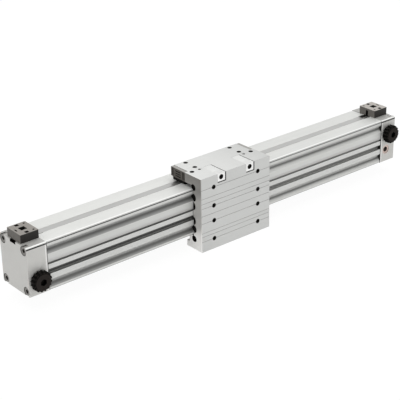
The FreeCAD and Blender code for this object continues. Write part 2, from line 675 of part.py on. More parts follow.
def make_band_cover(side, along, turned):
    """The plastic cover over the band's end, on top of a cap."""
    start = "(cap_length - cover_length)"
    middle = "(cap_length - cover_length / 2)"
    top = "(cap_height + cover_height)"
    screw = f"({start} + cover_screw_along)"
    piece = Piece(f"{side}_band_cover")
    block = piece.sketch("XY", out="cap_height")
    rectangle(block, start, "-cover_width / 2", "cap_length", "cover_width / 2")
    piece.pad(block, "cover_height")
    piece.round_edges("cap_round", upright)
    mouth = piece.sketch("YZ", out="cap_length")
    rectangle(mouth, "-cover_mouth_width / 2", "cap_height", "cover_mouth_width / 2",
              "cap_height + cover_mouth_height")
    piece.cut(mouth, "cover_length / 2")
    well = piece.sketch("XY", out=top)
    half = "clamp_well_half"
    rectangle(well, f"{middle} - {half}", less(half), f"{middle} + {half}", half)
    piece.cut(well, "clamp_well_deep")
    shaft = piece.sketch("XY", out=top)
    circle(shaft, middle, "0", "clamp_screw_radius + fit_gap")
    piece.cut(shaft, "cover_height")
    slots = piece.sketch("XY", out=top)
    for sign in ("-", ""):
        edge, inner = f"{sign}(cover_screw_side + 1.9)", f"{sign}(cover_screw_side - 1.9)"
        rectangle(slots, f"{screw} - 1.9", edge, f"{screw} + 1.9", inner)
    rectangle(slots, f"{start} + 2", "-2.2", f"{start} + 3.4", "2.2")
    piece.cut(slots, "cover_wall")
    shafts = piece.sketch("XY", out=top)
    for sign in ("-", ""):
        circle(shafts, screw, f"{sign}cover_screw_side", "cover_screw_radius + fit_gap")
        circle(shafts, "cap_length - 3.4", f"{sign}(cover_width / 2 - 3.4)", "1.1")
    piece.cut(shafts, "cover_height")
    piece.place(along=along, turned=turned)
    screws = Piece(f"{side}_cover_screws")
    for radius, high, length in (("cover_screw_radius", f"{top} - cover_wall",
                                  "cover_height - cover_wall + cover_screw_reach"),
                                 ("1.7", f"{top} - 1.6", "cover_wall - 1.6")):
        drawn = screws.sketch("XY", out=high)
        for sign in ("-", ""):
            circle(drawn, screw, f"{sign}cover_screw_side", radius)
        screws.pad(drawn, length, back=True)
    slots = screws.sketch("XY", out=f"{top} - 1.6")
    for sign in ("-", ""):
        side_low, side_high = f"{sign}cover_screw_side - 0.3", f"{sign}cover_screw_side + 0.3"
        rectangle(slots, f"{screw} - 2", side_low, f"{screw} + 2", side_high)
    screws.cut(slots, "0.7")
    screws.place(along=along, turned=turned)
    clamp = Piece(f"{side}_band_clamp")
    plate = clamp.sketch("XY", out=f"{CHANNEL_FLOOR} + band_thick + 2 * fit_gap")
    rectangle(plate, f"{middle} - clamp_length / 2", "-(channel_width / 2 - 0.2)",
              f"{middle} + clamp_length / 2", "channel_width / 2 - 0.2")
    clamp.pad(plate, "channel_deep - band_thick - 3 * fit_gap")
    clamp.place(along=along, turned=turned)
    press = Piece(f"{side}_clamp_screw")
    drawn = press.sketch("XY", out="cap_height")
    circle(drawn, middle, "0", "clamp_screw_radius")
    press.pad(drawn, "cover_height - clamp_well_deep + 1")
    key = press.sketch("XY", out=f"{top} - clamp_well_deep + 1")
    hexagon(key, middle, "0", "clamp_screw_radius")
    press.cut(key, "2")
    press.place(along=along, turned=turned)


def make_carriage():
    """The extruded carriage: top with the yoke's tunnel, side plate with hollows, lower lip."""
    piece = Piece("carriage")
    front = "-carriage_front"
    lines = [f"({GUIDE_MIDDLE} + {reach})" for reach in
             ("row_outer", f"{GROOVE_REACH} + 1.4", f"({GROOVE_REACH} + row_inner) / 2 + 0.5",
              "row_inner", "0", "-row_inner", f"-({GROOVE_REACH} + 1.4)",
              f"-({GROOVE_REACH} + row_outer) / 2", "-row_outer")]
    outline = [(front, "-plate_drop"), ("-lip_tip", "-plate_drop"),
               ("-lip_tip", "lip_thin - plate_drop"), ("-lip_step", "lip_thin - plate_drop"),
               ("-lip_step", "barrel_inset - lip_gap"), (LANDS, "barrel_inset - lip_gap"),
               (LANDS, UNDER_TOP), ("-tunnel_half", UNDER_TOP), ("-tunnel_half", ROOF),
               ("tunnel_half - 1", ROOF), ("tunnel_half - 1", UNDER_TOP),
               ("carriage_back", UNDER_TOP), ("carriage_back", PLATE_TOP), (front, PLATE_TOP)]
    for height in lines:
        outline += [(front, f"{height} + front_line"), (f"{front} + front_line", height),
                    (front, f"{height} - front_line")]
    piece.pad(polygon(piece.sketch("YZ"), outline), "carriage_length", both=True)
    hollows = (("-corner_channel_side", "row_outer", "corner_channel_radius"),
               (LANDS, GROOVE_REACH, "guide_socket_radius"),
               ("-relief_side", "row_inner", "relief_radius"))
    for across, reach, radius in hollows:
        drawn = piece.sketch("YZ")
        for sign in ("-", "+"):
            circle(drawn, across, f"{GUIDE_MIDDLE} {sign} {reach}", radius)
        piece.cut(drawn)
    holes = piece.sketch("XZ", out="carriage_front")
    for sign in ("-", ""):
        for reach in ("-row_outer", "-row_inner", "row_inner", "row_outer"):
            circle(holes, f"{sign}hole_spacing / 2", f"{GUIDE_MIDDLE} + {reach}",
                   "plate_hole_radius")
    piece.cut(holes, "carriage_front - corner_channel_side")
    top = piece.sketch("XY", out=PLATE_TOP)
    for sign in ("-", ""):
        for side in ("-", ""):
            circle(top, f"{sign}hole_spacing / 2", f"{side}top_hole_spacing / 2",
                   "plate_hole_radius")
    piece.cut(top, "tunnel_roof")
    for spacing, radius, deep in (("top_end_spacing", "pin_hole_radius", "pin_hole_deep"),
                                  ("hole_spacing", "lock_radius + fit_gap", "lock_length")):
        drawn = piece.sketch("XY", out=PLATE_TOP)
        for sign in ("-", ""):
            circle(drawn, f"{sign}{spacing} / 2", "-top_side", radius)
        piece.cut(drawn, deep)
    for start, deep in (("-carriage_front - 1", "dog_bar"),
                        (None, "top_thick - dog_gap")):
        seats = piece.sketch("XY", out=PLATE_TOP)
        for sign in ("-", ""):
            left = f"{sign}dog_spacing / 2 - dog_width / 2 - fit_gap"
            right = f"{sign}dog_spacing / 2 + dog_width / 2 + dog_gap"
            end = "-dog_back + fit_gap" if start else "-carriage_front + dog_block + fit_gap"
            rectangle(seats, left, start or "-carriage_front - 1", right, end)
        piece.cut(seats, deep)
    notches = piece.sketch("XY", out=PLATE_TOP)
    for sign in ("-", ""):
        rectangle(notches, f"{sign}(carriage_length / 2 + 1)", "-flange_half - fit_gap",
                  f"{sign}(carriage_length / 2 - flange_length - fit_gap)", "carriage_back + 1")
    piece.cut(notches, "top_thick")
    piece.place(along="carriage_rest")


def make_driver_dogs():
    """The two dogs that couple the carriage to the yoke, and their screws."""
    for side, sign in (("left", "-"), ("right", "")):
        piece = Piece(f"{side}_driver_dog")
        left = f"{sign}dog_spacing / 2 - dog_width / 2"
        right = f"{sign}dog_spacing / 2 + dog_width / 2"
        bar = piece.sketch("XY", out=f"{PLATE_TOP} - dog_bar + fit_gap")
        rectangle(bar, left, "-carriage_front", right, "-dog_back")
        piece.pad(bar, "dog_bar - 2 * fit_gap")
        block = piece.sketch("XY", out=f"{UNDER_TOP} + 2 * dog_gap")
        rectangle(block, left, "-carriage_front", right, "-carriage_front + dog_block")
        piece.pad(block, "top_thick - 2 * dog_gap - fit_gap")
        hole = piece.sketch("XZ", out="carriage_front")
        circle(hole, f"{sign}dog_spacing / 2 - 0.6", f"{PLATE_TOP} - dog_bar", "dog_screw_radius")
        piece.cut(hole, "dog_block - 2")
        line = piece.sketch("YZ")
        top, back = f"({PLATE_TOP} - fit_gap)", "(-carriage_front + dog_line_back)"
        polygon(line, [(f"{back} - 2 * dog_line", f"{top} + dog_line"), (back, f"{top} - dog_line"),
                       (f"{back} + 2 * dog_line", f"{top} + dog_line")])
        piece.cut(line)
        piece.place(along="carriage_rest")
    screws = Piece("dog_screws")
    drawn = screws.sketch("XZ", out="carriage_front - 2.5")
    for sign in ("-", ""):
        circle(drawn, f"{sign}dog_spacing / 2 - 0.6", f"{PLATE_TOP} - dog_bar",
               "dog_screw_radius - fit_gap")
    screws.pad(drawn, "dog_block - 4.6", back=True)
    keys = screws.sketch("XZ", out="carriage_front - 2.5")
    for sign in ("-", ""):
        hexagon(keys, f"{sign}dog_spacing / 2 - 0.6", f"{PLATE_TOP} - dog_bar", "dog_screw_radius")
    screws.cut(keys, "2.5")
    screws.place(along="carriage_rest")


def make_lock_screws():
    """The flush screws in the top."""
    piece = Piece("lock_screws")
    for cut in (False, True):
        drawn = piece.sketch("XY", out=f"{PLATE_TOP} - fit_gap")
        for sign in ("-", ""):
            if cut:
                hexagon(drawn, f"{sign}hole_spacing / 2", "-top_side", "lock_radius")
            else:
                circle(drawn, f"{sign}hole_spacing / 2", "-top_side", "lock_radius")
        if cut:
            piece.cut(drawn, "lock_length / 2")
        else:
            piece.pad(drawn, "lock_length - 2 * fit_gap", back=True)
    piece.place(along="carriage_rest")


def make_guide_bar(label, height):
    """A plastic bar in the carriage's socket with a nose in the barrel's V groove."""
    piece = Piece(label)
    radius = "(guide_socket_radius - fit_gap)"
    bar_half = "(carriage_length / 2 - 1)"
    piece.pad(circle(piece.sketch("YZ"), LANDS, height, radius), f"2 * {bar_half}", both=True)
    flat = piece.sketch("YZ")
    face = f"(-{BARREL_HALF} - free_gap)"
    rectangle(flat, face, f"{height} - 2 * guide_socket_radius",
              f"{face} + 2 * guide_socket_radius", f"{height} + 2 * guide_socket_radius")
    piece.cut(flat)
    nose = piece.sketch("YZ")
    wide = "(groove_half - free_gap * sqrt(2))"
    reach = "(groove_deep - free_gap)"
    tip = f"({wide} - {reach})"
    polygon(nose, [(f"{face} - 1", f"{height} - {wide}"), (f"-{BARREL_HALF}", f"{height} - {wide}"),
                   (f"-{BARREL_HALF} + {reach}", f"{height} - {tip}"),
                   (f"-{BARREL_HALF} + {reach}", f"{height} + {tip}"),
                   (f"-{BARREL_HALF}", f"{height} + {wide}"), (f"{face} - 1", f"{height} + {wide}")])
    piece.pad(nose, f"2 * {bar_half}", both=True)
    piece.place(along="carriage_rest")


def make_yoke():
    """The yoke: beam in the bore, neck through the slot, head in the carriage's tunnel."""
    piece = Piece("piston_yoke")
    piece.pad(circle(piece.sketch("YZ"), "0", "bore_height", "beam_radius"), "2 * beam_half", both=True)
    flat = piece.sketch("YZ")
    rectangle(flat, "-bore_radius", BEAM_TOP, "bore_radius", "bore_height + bore_radius")
    piece.cut(flat)
    neck = "(slot_width / 2 - neck_gap)"
    wall = "(band_tunnel / 2 + 3)"
    head = "(tunnel_half - 1.5)"
    head_top = f"{ROOF} - fit_gap"
    right = [("cheek_half", f"{BEAM_TOP} - 2"), ("cheek_half", CHEEK_TOP),
             (neck, f"{CHEEK_TOP} + 2"),
             (neck, YOKE_FLOOR), (wall, YOKE_FLOOR), (wall, HEAD_FLOOR), (head, HEAD_FLOOR),
             (head, head_top)]
    piece.pad(polygon(piece.sketch("YZ"), right + mirrored(right)), "2 * yoke_half", both=True)
    block = piece.sketch("YZ")
    rectangle(block, less(head), HEAD_FLOOR, head, head_top)
    piece.pad(block, f"2 * {HEAD_HALF}", both=True)
    tunnels = piece.sketch("YZ")
    half = "band_tunnel / 2"
    rectangle(tunnels, less(half), BEAM_TOP, half, f"{BEAM_TOP} + band_tunnel_height")
    rectangle(tunnels, less(half), f"{YOKE_FLOOR} + yoke_bridge", half, HEAD_FLOOR)
    piece.cut(tunnels)
    bolts = piece.sketch("YZ", out="beam_half")
    circle(bolts, "0", "bore_height", "bolt_radius + fit_gap")
    piece.cut(bolts, "bolt_reach + 2")
    bolts = piece.sketch("YZ", out="-beam_half")
    circle(bolts, "0", "bore_height", "bolt_radius + fit_gap")
    piece.cut(bolts, "bolt_reach + 2", back=True)
    holes = piece.sketch("XY", out=head_top)
    for sign in ("-", ""):
        for side in ("-", ""):
            circle(holes, f"{sign}hole_spacing / 2", f"{side}top_hole_spacing / 2",
                   "plate_hole_radius")
    piece.cut(holes, f"{ROOF} - {HEAD_FLOOR}")
    piece.place(along="carriage_rest")


def groove_ring(label, turned, back, width, deep, outside):
    """A ring in a groove of a piston, measured back from the piston's nose."""
    piece = Piece(label)
    ring(piece, f"{NOSE} - {back} - {width} + fit_gap", f"{NOSE} - {back} - fit_gap",
         f"piston_radius - {deep} + fit_gap", outside)
    piece.place(along="carriage_rest", turned=turned)


def make_piston(side, turned):
    """A piston with its grooves, rings, seals, magnet and the bolt that holds it to the yoke."""
    piece = Piece(f"{side}_piston")
    drawn = piece.sketch("XZ", up="bore_height")
    corners = [("beam_half", "bolt_radius + 2 * fit_gap"), ("beam_half", "piston_radius")]
    for back, width, deep in (("magnet_back", "magnet_width", "magnet_deep"),
                              ("wear_back", "wear_width", "wear_deep"),
                              ("seal_back", "seal_width", "seal_deep")):
        start, end = f"{NOSE} - {back} - {width}", f"{NOSE} - {back}"
        floor = f"piston_radius - {deep}"
        corners += [(start, "piston_radius"), (start, floor), (end, floor), (end, "piston_radius")]
    seal_end = f"{NOSE} - cushion_seal_back"
    seal_start = f"{NOSE} - cushion_seal_back - cushion_seal_width"
    corners += [(NOSE, "piston_radius"), (NOSE, "cushion_radius"), (seal_end, "cushion_radius"),
                (seal_end, "cushion_seal_radius"), (seal_start, "cushion_seal_radius"),
                (seal_start, "cushion_radius"), (f"{NOSE} - cushion_deep", "cushion_radius"),
                (f"{NOSE} - cushion_deep", "bolt_radius + 2 * fit_gap")]
    piece.turn(polygon(drawn, corners))
    piece.place(along="carriage_rest", turned=turned)
    groove_ring(f"{side}_piston_seal", turned, "seal_back", "seal_width", "seal_deep",
                "bore_radius - running_gap")
    groove_ring(f"{side}_wear_ring", turned, "wear_back", "wear_width", "wear_deep",
                "bore_radius - running_gap")
    groove_ring(f"{side}_magnet", turned, "magnet_back", "magnet_width", "magnet_deep",
                "piston_radius - fit_gap")
    seal = Piece(f"{side}_cushion_seal")
    ring(seal, f"{seal_start} + fit_gap", f"{seal_end} - fit_gap",
         "tube_radius + 1.5 * free_gap", "cushion_seal_radius - fit_gap")
    seal.place(along="carriage_rest", turned=turned)
    bolt = Piece(f"{side}_piston_bolt")
    base = f"{NOSE} - cushion_deep"
    drawn = bolt.sketch("XZ", up="bore_height")
    polygon(drawn, [("beam_half - bolt_reach", "0"), ("beam_half - bolt_reach", "bolt_radius"),
                    (base, "bolt_radius"), (base, "bolt_head_radius"),
                    (f"{base} + bolt_head", "bolt_head_radius"), (f"{base} + bolt_head", "0")])
    bolt.turn(drawn)
    key = bolt.sketch("YZ", out=f"{base} + bolt_head")
    hexagon(key, "0", "bore_height", "bolt_radius * 5 / 3")
    bolt.cut(key, "bolt_head / 2")
    bolt.place(along="carriage_rest", turned=turned)


def make_wiper(side, turned):
    """The end piece in the carriage's tunnel, with slots in its face, and its wiper lip."""
    end = "(carriage_length / 2 - fit_gap)"
    half = "(tunnel_half - 1 - 2 * fit_gap)"
    piece = Piece(f"{side}_end_piece")
    drawn = piece.sketch("YZ", out=end)
    rectangle(drawn, less(half), f"{UNDER_TOP} - free_gap", half, f"{ROOF} - fit_gap")
    piece.pad(drawn, "wiper_length", back=True)
    flange = piece.sketch("YZ", out=end)
    rectangle(flange, "-flange_half", f"{UNDER_TOP} + fit_gap", "flange_half",
              f"{PLATE_TOP} - flange_drop")
    piece.pad(flange, "flange_length", back=True)
    slots = piece.sketch("YZ", out=end)
    for low in ("1.6", "4.2", "6.8"):
        rectangle(slots, "-4", f"{UNDER_TOP} + {low}", "4", f"{UNDER_TOP} + {low} + 1")
    for sign in ("-", ""):
        for near in ("1", "2.9"):
            rectangle(slots, f"{sign}(flange_half - {near})", f"{UNDER_TOP} + 1",
                      f"{sign}(flange_half - {near} - 0.9)", f"{PLATE_TOP} - 1.2")
    piece.cut(slots, "flange_slot_deep")
    piece.place(along="carriage_rest", turned=turned)
    lip = Piece(f"{side}_wiper_lip")
    drawn = lip.sketch("YZ", out=f"{end} - lip_inset")
    rectangle(drawn, less(half), f"{BARREL_TOP} + 2 * free_gap", half, f"{UNDER_TOP} - free_gap")
    lip.pad(drawn, "lip_length", back=True)
    lip.place(along="carriage_rest", turned=turned)


def check():
    """Stop if a feature failed, a cut removed nothing or a sub-part isn't sound."""
    for item in doc.Objects:
        if "Invalid" in item.State or "Error" in item.State:
            raise RuntimeError(f"{item.Label} ({item.Name}) failed: {item.State}")
    for piece in Piece.made:
        shape = piece.body.Shape
        if shape.isNull() or not shape.isValid() or not shape.Solids:
            raise RuntimeError(f"{piece.body.Label} has no sound shape")
        for feature in piece.cuts:
            if feature.Shape.Volume > feature.BaseFeature.Shape.Volume - SMALL:
                raise RuntimeError(f"{feature.Name} of {piece.body.Label} cuts nothing")


make_barrel()
make_bands()
for side, along, turned in SIDES:
    make_end_cap(side, along, turned)
    make_cap_screws(side, along, turned)
    make_register_seal(side, along, turned)
    make_cushion_tube(side, along, turned)
    make_cushion_screw(side, along, turned)
    make_band_cover(side, along, turned)
for side, sign, front, rear in (("left", "-", "port_low", "port_high"),
                                ("right", "", "port_high", "port_low")):
    port_along = f"{sign}(total_length / 2 - cap_length / 2)"
    make_port_plug(side, port_along, front)
    make_blank_plug(side, port_along, rear)
make_carriage()
make_driver_dogs()
make_lock_screws()
make_guide_bar("upper_guide_bar", GROOVE_TOP)
make_guide_bar("lower_guide_bar", "groove_low")
make_yoke()
for side, turned in HALVES:
    make_piston(side, turned)
    make_wiper(side, turned)
doc.recompute()
check()
os.makedirs("parts", exist_ok=True)
for piece in Piece.made:
    piece.body.Shape.exportStep(os.path.join("parts", f"{piece.body.Label}.step"))
print(f"{len(Piece.made)} sub-parts")
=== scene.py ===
# %% [markdown]
# # A rodless air cylinder, dressed for the studio
# The frame holds the solids of a cylinder whose piston drives a carriage through a slot
# in the barrel. This notebook puts real finishes on them: drawn and anodised aluminium,
# a steel band, moulded grips. Lengths are written in millimetres and become metres where a
# mesh is made. X runs along the barrel, Y to the back and Z up.

# %% Load the frame
import json
import math

import bmesh
import bpy
import numpy as np
from mathutils import Matrix, Vector
from mathutils.bvhtree import BVHTree

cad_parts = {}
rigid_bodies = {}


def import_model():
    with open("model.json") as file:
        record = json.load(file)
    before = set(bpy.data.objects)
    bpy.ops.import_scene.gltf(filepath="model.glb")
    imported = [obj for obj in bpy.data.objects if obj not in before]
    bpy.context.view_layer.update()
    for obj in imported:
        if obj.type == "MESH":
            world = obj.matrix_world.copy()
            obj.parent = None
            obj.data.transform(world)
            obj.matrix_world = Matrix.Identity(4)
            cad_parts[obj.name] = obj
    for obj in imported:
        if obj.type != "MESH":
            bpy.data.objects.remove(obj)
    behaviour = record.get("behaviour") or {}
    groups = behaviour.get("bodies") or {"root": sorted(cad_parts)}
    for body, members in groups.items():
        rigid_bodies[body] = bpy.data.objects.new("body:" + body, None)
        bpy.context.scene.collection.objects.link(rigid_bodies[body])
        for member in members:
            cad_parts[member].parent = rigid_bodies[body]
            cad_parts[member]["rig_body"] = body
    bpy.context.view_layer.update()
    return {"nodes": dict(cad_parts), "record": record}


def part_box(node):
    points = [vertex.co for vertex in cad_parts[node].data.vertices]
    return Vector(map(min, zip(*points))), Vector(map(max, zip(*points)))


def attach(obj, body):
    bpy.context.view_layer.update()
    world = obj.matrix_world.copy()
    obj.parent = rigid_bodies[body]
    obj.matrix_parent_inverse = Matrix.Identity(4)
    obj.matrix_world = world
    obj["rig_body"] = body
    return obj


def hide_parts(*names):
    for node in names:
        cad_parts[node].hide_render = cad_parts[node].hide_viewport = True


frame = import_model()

MM = 0.001
nodes = frame["nodes"]
slot_of = {part["node"]: part["material_slot"] for part in frame["record"]["subparts"]}


def box_mm(name):
    """A node's lowest and highest corner in millimetres."""
    return np.array(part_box(name)) / MM


# %% [markdown]
# ## Camera
# The photograph was taken from the front left, well above the barrel, with a long lens. A
# camera could be moved by eye until the pictures agree. Here its place and its angle were
# fitted to the barrel's long edges and the caps' corners, so they are given as numbers.

# %% Place the camera
PLACE = (-764.974, -913.061, 573.846)
AZIMUTH, ELEVATION, ROLL = np.radians((-39.0996, 25.1031, -1.1571))
camera_data = bpy.data.cameras.new("photo_camera")
camera_data.sensor_width = 36
camera_data.lens = 111.3517
camera_data.clip_start = 0.05
camera = bpy.data.objects.new("photo_camera", camera_data)
bpy.context.scene.collection.objects.link(camera)
back = np.array([math.sin(AZIMUTH) * math.cos(ELEVATION),
                 -math.cos(AZIMUTH) * math.cos(ELEVATION), math.sin(ELEVATION)])
right = np.cross((0, 0, 1), back)
right /= np.linalg.norm(right)
up = np.cross(back, right)
axes = (math.cos(ROLL) * right + math.sin(ROLL) * up,
        math.cos(ROLL) * up - math.sin(ROLL) * right, back)
camera.matrix_world = (Matrix.Translation(np.array(PLACE) * MM)
                       @ Matrix(np.column_stack(axes).tolist()).to_4x4())
bpy.context.scene.camera = camera
print("camera", round(np.linalg.norm(camera.location), 3), "m from the origin")

# %% [markdown]
# ## Surfaces from sections
# Most of this product is extruded: one outline, carried along X. It could be drawn by hand
# as a curve, but the section's measures are known, so an outline is a list of corners. Each
# corner is cut by a small curve, because a real edge is never quite sharp.

# %% Outlines and grids
def eased(corners, cuts, steps=4):
    """Each corner P becomes (1-s)^2 A + 2 s (1-s) P + s^2 B, a parabola between the points A
    and B that lie a cut before and after it."""
    corners = np.asarray(corners, float)
    cuts = np.broadcast_to(np.asarray(cuts, float), (len(corners),))[:, None]
    to_last = np.roll(corners, 1, axis=0) - corners
    to_next = np.roll(corners, -1, axis=0) - corners
    start = corners + cuts * to_last / np.linalg.norm(to_last, axis=1, keepdims=True)
    end = corners + cuts * to_next / np.linalg.norm(to_next, axis=1, keepdims=True)
    s = np.linspace(0, 1, steps)[None, :, None]
    start, corners, end = start[:, None], corners[:, None], end[:, None]
    curve = (1 - s) ** 2 * start + 2 * s * (1 - s) * corners + s ** 2 * end
    return curve.reshape(-1, 2)


def grid_mesh(name, points, ends=True):
    """Rows of points as quads: each row is a loop, and row i joins row i + 1. With ends, the
    first and last loops become faces."""
    rows, columns = points.shape[:2]
    index = np.arange(rows * columns).reshape(rows, columns)
    beside = np.roll(index, -1, axis=1)
    quads = np.stack([index[:-1], beside[:-1], beside[1:], index[1:]], axis=-1)
    faces = quads.reshape(-1, 4).tolist()
    if ends:
        faces += [index[0, ::-1].tolist(), index[-1].tolist()]
    mesh = bpy.data.meshes.new(name)
    mesh.from_pydata((points.reshape(-1, 3) * MM).tolist(), [], faces)
    return mesh


print("a square with eased corners has", len(eased([(0, 0), (9, 0), (9, 9), (0, 9)], 1)), "points")


# %% Finishing a mesh
def shaded_smooth(mesh, sharp):
    """Smooth shading, with the edges over an angle in degrees kept sharp."""
    mesh.polygons.foreach_set("use_smooth", np.ones(len(mesh.polygons), bool))
    mesh.set_sharp_from_angle(angle=math.radians(sharp))


def tidied(mesh, sharp=32):
    """The mesh with doubles merged and faces turned outwards."""
    work = bmesh.new()
    work.from_mesh(mesh)
    bmesh.ops.remove_doubles(work, verts=work.verts, dist=1e-7)
    bmesh.ops.dissolve_degenerate(work, edges=work.edges, dist=1e-7)
    bmesh.ops.recalc_face_normals(work, faces=work.faces)
    work.to_mesh(mesh)
    work.free()
    shaded_smooth(mesh, sharp)
    return mesh


def extruded(name, stations, sections):
    """Section i, an outline in Y and Z, stands at station i along X: the surface is
    (x_i, y_ij, z_ij)."""
    sections = np.asarray(sections)
    along = np.broadcast_to(np.asarray(stations, float)[:, None, None], sections.shape[:2] + (1,))
    return tidied(grid_mesh(name, np.concatenate([along, sections], axis=2)))


def add_piece(name, mesh, body, material, replaced=()):
    """A finished mesh as a piece of the object, on its body and in its finish."""
    piece = bpy.data.objects.new(name, mesh)
    bpy.context.scene.collection.objects.link(piece)
    mesh.materials.clear()
    mesh.materials.append(material)
    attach(piece, body)
    if replaced:
        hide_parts(*replaced)
    print(name, len(mesh.polygons), "faces")
    return piece


print("meshes can be finished and added")

# %% [markdown]
# ## How deep a face lies
# Holes and sockets are dark because little light gets in. A renderer finds that by itself,
# but the photograph's holes are darker still. So each face stores how sheltered it is, and a
# finish can paint the deep ones darker, as painted shade.

# %% Shelter of each face
GOLDEN_ANGLE = 2.39996  # in radians, it spreads the rays evenly
LIFT = 0.02


def shelter(mesh, rays=36, reach=14):
    """Writes a value per face: the share of rays, spread over the half sphere above the face's
    middle, that meet the piece itself within a reach in millimetres. It is near 0 on an open
    face and near 1 at the bottom of a hole."""
    tree = BVHTree.FromPolygons([v.co for v in mesh.vertices],
                                [tuple(face.vertices) for face in mesh.polygons])
    step = (np.arange(rays) + 0.5) / rays
    spin = np.arange(rays) * GOLDEN_ANGLE
    fan = np.column_stack([np.sqrt(step) * np.cos(spin), np.sqrt(step) * np.sin(spin),
                           np.sqrt(1 - step)])
    values = np.zeros(len(mesh.polygons))
    for place, face in enumerate(mesh.polygons):
        turn = face.normal.to_track_quat("Z", "X").to_matrix()
        start = face.center + face.normal * (LIFT * MM)
        hits = [tree.ray_cast(start, turn @ Vector(ray), reach * MM)[0] is not None for ray in fan]
        values[place] = np.mean(hits)
    mesh.attributes.new("shelter", "FLOAT", "FACE").data.foreach_set("value", values)


print("shelter is measured from", LIFT, "mm above each face")

# %% [markdown]
# ## Nodes in plain words
# Materials are built from nodes. A picture could be painted on each piece, but it would
# have to be stored and fitted. Here a colour follows from where a point lies, and these
# helpers keep such rules short. A mask is a value that is 1 where a rule holds and 0 where
# it doesn't: some helpers make masks from places, the others mix colours by a mask.

# %% Numbers and masks
def math_node(tree, operation, *values):
    """A Math node whose inputs are sockets or numbers."""
    node = tree.nodes.new("ShaderNodeMath")
    node.operation = operation
    for place, value in enumerate(values):
        if isinstance(value, bpy.types.NodeSocket):
            tree.links.new(value, node.inputs[place])
        else:
            node.inputs[place].default_value = value
    return node.outputs[0]


def both(tree, first, second):
    """The mask where both masks are on."""
    return math_node(tree, "MULTIPLY", first, second)


def either(tree, first, second):
    """The mask where one mask or the other is on."""
    return math_node(tree, "MAXIMUM", first, second)


def ramp(tree, value, low, high):
    """0 where the value is at low, 1 where it is at high."""
    node = tree.nodes.new("ShaderNodeMapRange")
    tree.links.new(value, node.inputs["Value"])
    for label, limit in (("From Min", low), ("From Max", high)):
        if isinstance(limit, bpy.types.NodeSocket):
            tree.links.new(limit, node.inputs[label])
        else:
            node.inputs[label].default_value = limit
    return node.outputs["Result"]


def within(tree, value, low, high, soft=0.05):
    """1 between low and high, and 0 outside, with soft limits."""
    return both(tree, ramp(tree, value, low - soft, low + soft),
                ramp(tree, value, high + soft, high - soft))


print("numbers and masks can be worked out")


# %% Nodes that read a place
def coordinate(tree, kind, axis):
    """One part of a vector that the Texture Coordinate node gives."""
    spot = tree.nodes.new("ShaderNodeTexCoord")
    split = tree.nodes.new("ShaderNodeSeparateXYZ")
    tree.links.new(spot.outputs[kind], split.inputs["Vector"])
    return split.outputs[axis]


def axis_value(tree, axis, absolute=False):
    """One Object coordinate in millimetres."""
    value = math_node(tree, "MULTIPLY", coordinate(tree, "Object", axis), 1 / MM)
    return math_node(tree, "ABSOLUTE", value) if absolute else value


def facing(tree, axis):
    """1 on faces that look along an axis of the object, either way, and 0 on the others."""
    return ramp(tree, math_node(tree, "ABSOLUTE", coordinate(tree, "Normal", axis)), 0.85, 0.97)


def away_from(tree, spot, first, second):
    """The distance from a spot, worked out from two coordinates."""
    squares = []
    for middle, value in zip(spot, (first, second)):
        off = math_node(tree, "SUBTRACT", value, middle)
        squares.append(math_node(tree, "MULTIPLY", off, off))
    return math_node(tree, "SQRT", math_node(tree, "ADD", *squares))


def noise_over(tree, stretch, detail, roughness=0.5):
    """Noise on Object coordinates, stretched by a factor along each axis."""
    spot = tree.nodes.new("ShaderNodeTexCoord")
    mapping = tree.nodes.new("ShaderNodeMapping")
    mapping.inputs["Scale"].default_value = stretch
    noise = tree.nodes.new("ShaderNodeTexNoise")
    noise.inputs["Detail"].default_value = detail
    noise.inputs["Roughness"].default_value = roughness
    noise.inputs["Scale"].default_value = 1
    tree.links.new(spot.outputs["Object"], mapping.inputs["Vector"])
    tree.links.new(mapping.outputs["Vector"], noise.inputs["Vector"])
    return noise.outputs[0]


print("places can be read")


# %% Nodes that mix colours
# A Mix node has sockets for numbers, vectors and colours. These are the colours' places.
COLOUR_A, COLOUR_B, COLOUR_OUT = 6, 7, 2


def total(tree, start, values):
    """A number or a socket, plus a list of sockets."""
    for value in values:
        start = math_node(tree, "ADD", value, start)
    return start


def colour_mix(tree, factor, first, second, blend="MIX"):
    """A Mix node for colours. Each colour is a socket, or red, green and blue, or a grey."""
    mix = tree.nodes.new("ShaderNodeMix")
    mix.data_type = "RGBA"
    mix.blend_type = blend
    if isinstance(factor, bpy.types.NodeSocket):
        tree.links.new(factor, mix.inputs["Factor"])
    else:
        mix.inputs["Factor"].default_value = factor
    for place, colour in ((COLOUR_A, first), (COLOUR_B, second)):
        if isinstance(colour, bpy.types.NodeSocket):
            tree.links.new(colour, mix.inputs[place])
        else:
            mix.inputs[place].default_value = (*np.broadcast_to(colour, 3), 1)
    return mix.outputs[COLOUR_OUT]


def blended(tree, mask, first, second):
    """The first colour where the mask is 0, the second where it is 1."""
    return colour_mix(tree, mask, first, second)


def toned(tree, colour, factor):
    """A colour made lighter or darker by a factor."""
    return colour_mix(tree, 1, colour, factor, "MULTIPLY")


def graded(tree, value, stops, reach=None, peak=1.0):
    """A colour that follows a value: stops are pairs of a value and a colour or a grey. The
    ramp's reach is from the first stop to the last one, or as given. A ramp holds colours up
    to 1 only, so it is scaled down by a peak and up again."""
    stops = sorted(stops, key=lambda stop: stop[0])
    low, high = reach or (stops[0][0], stops[-1][0])
    node = tree.nodes.new("ShaderNodeValToRGB")
    points = node.color_ramp.elements
    while len(points) < len(stops):
        points.new(0.5)
    for point, (spot, colour) in zip(points, stops):
        point.position = (spot - low) / (high - low)
        point.color = (*np.broadcast_to(colour, 3) / peak, 1)
    tree.links.new(ramp(tree, value, low, high), node.inputs["Fac"])
    return node.outputs["Color"] if peak == 1 else toned(tree, node.outputs["Color"], peak)


print("colours can be mixed")
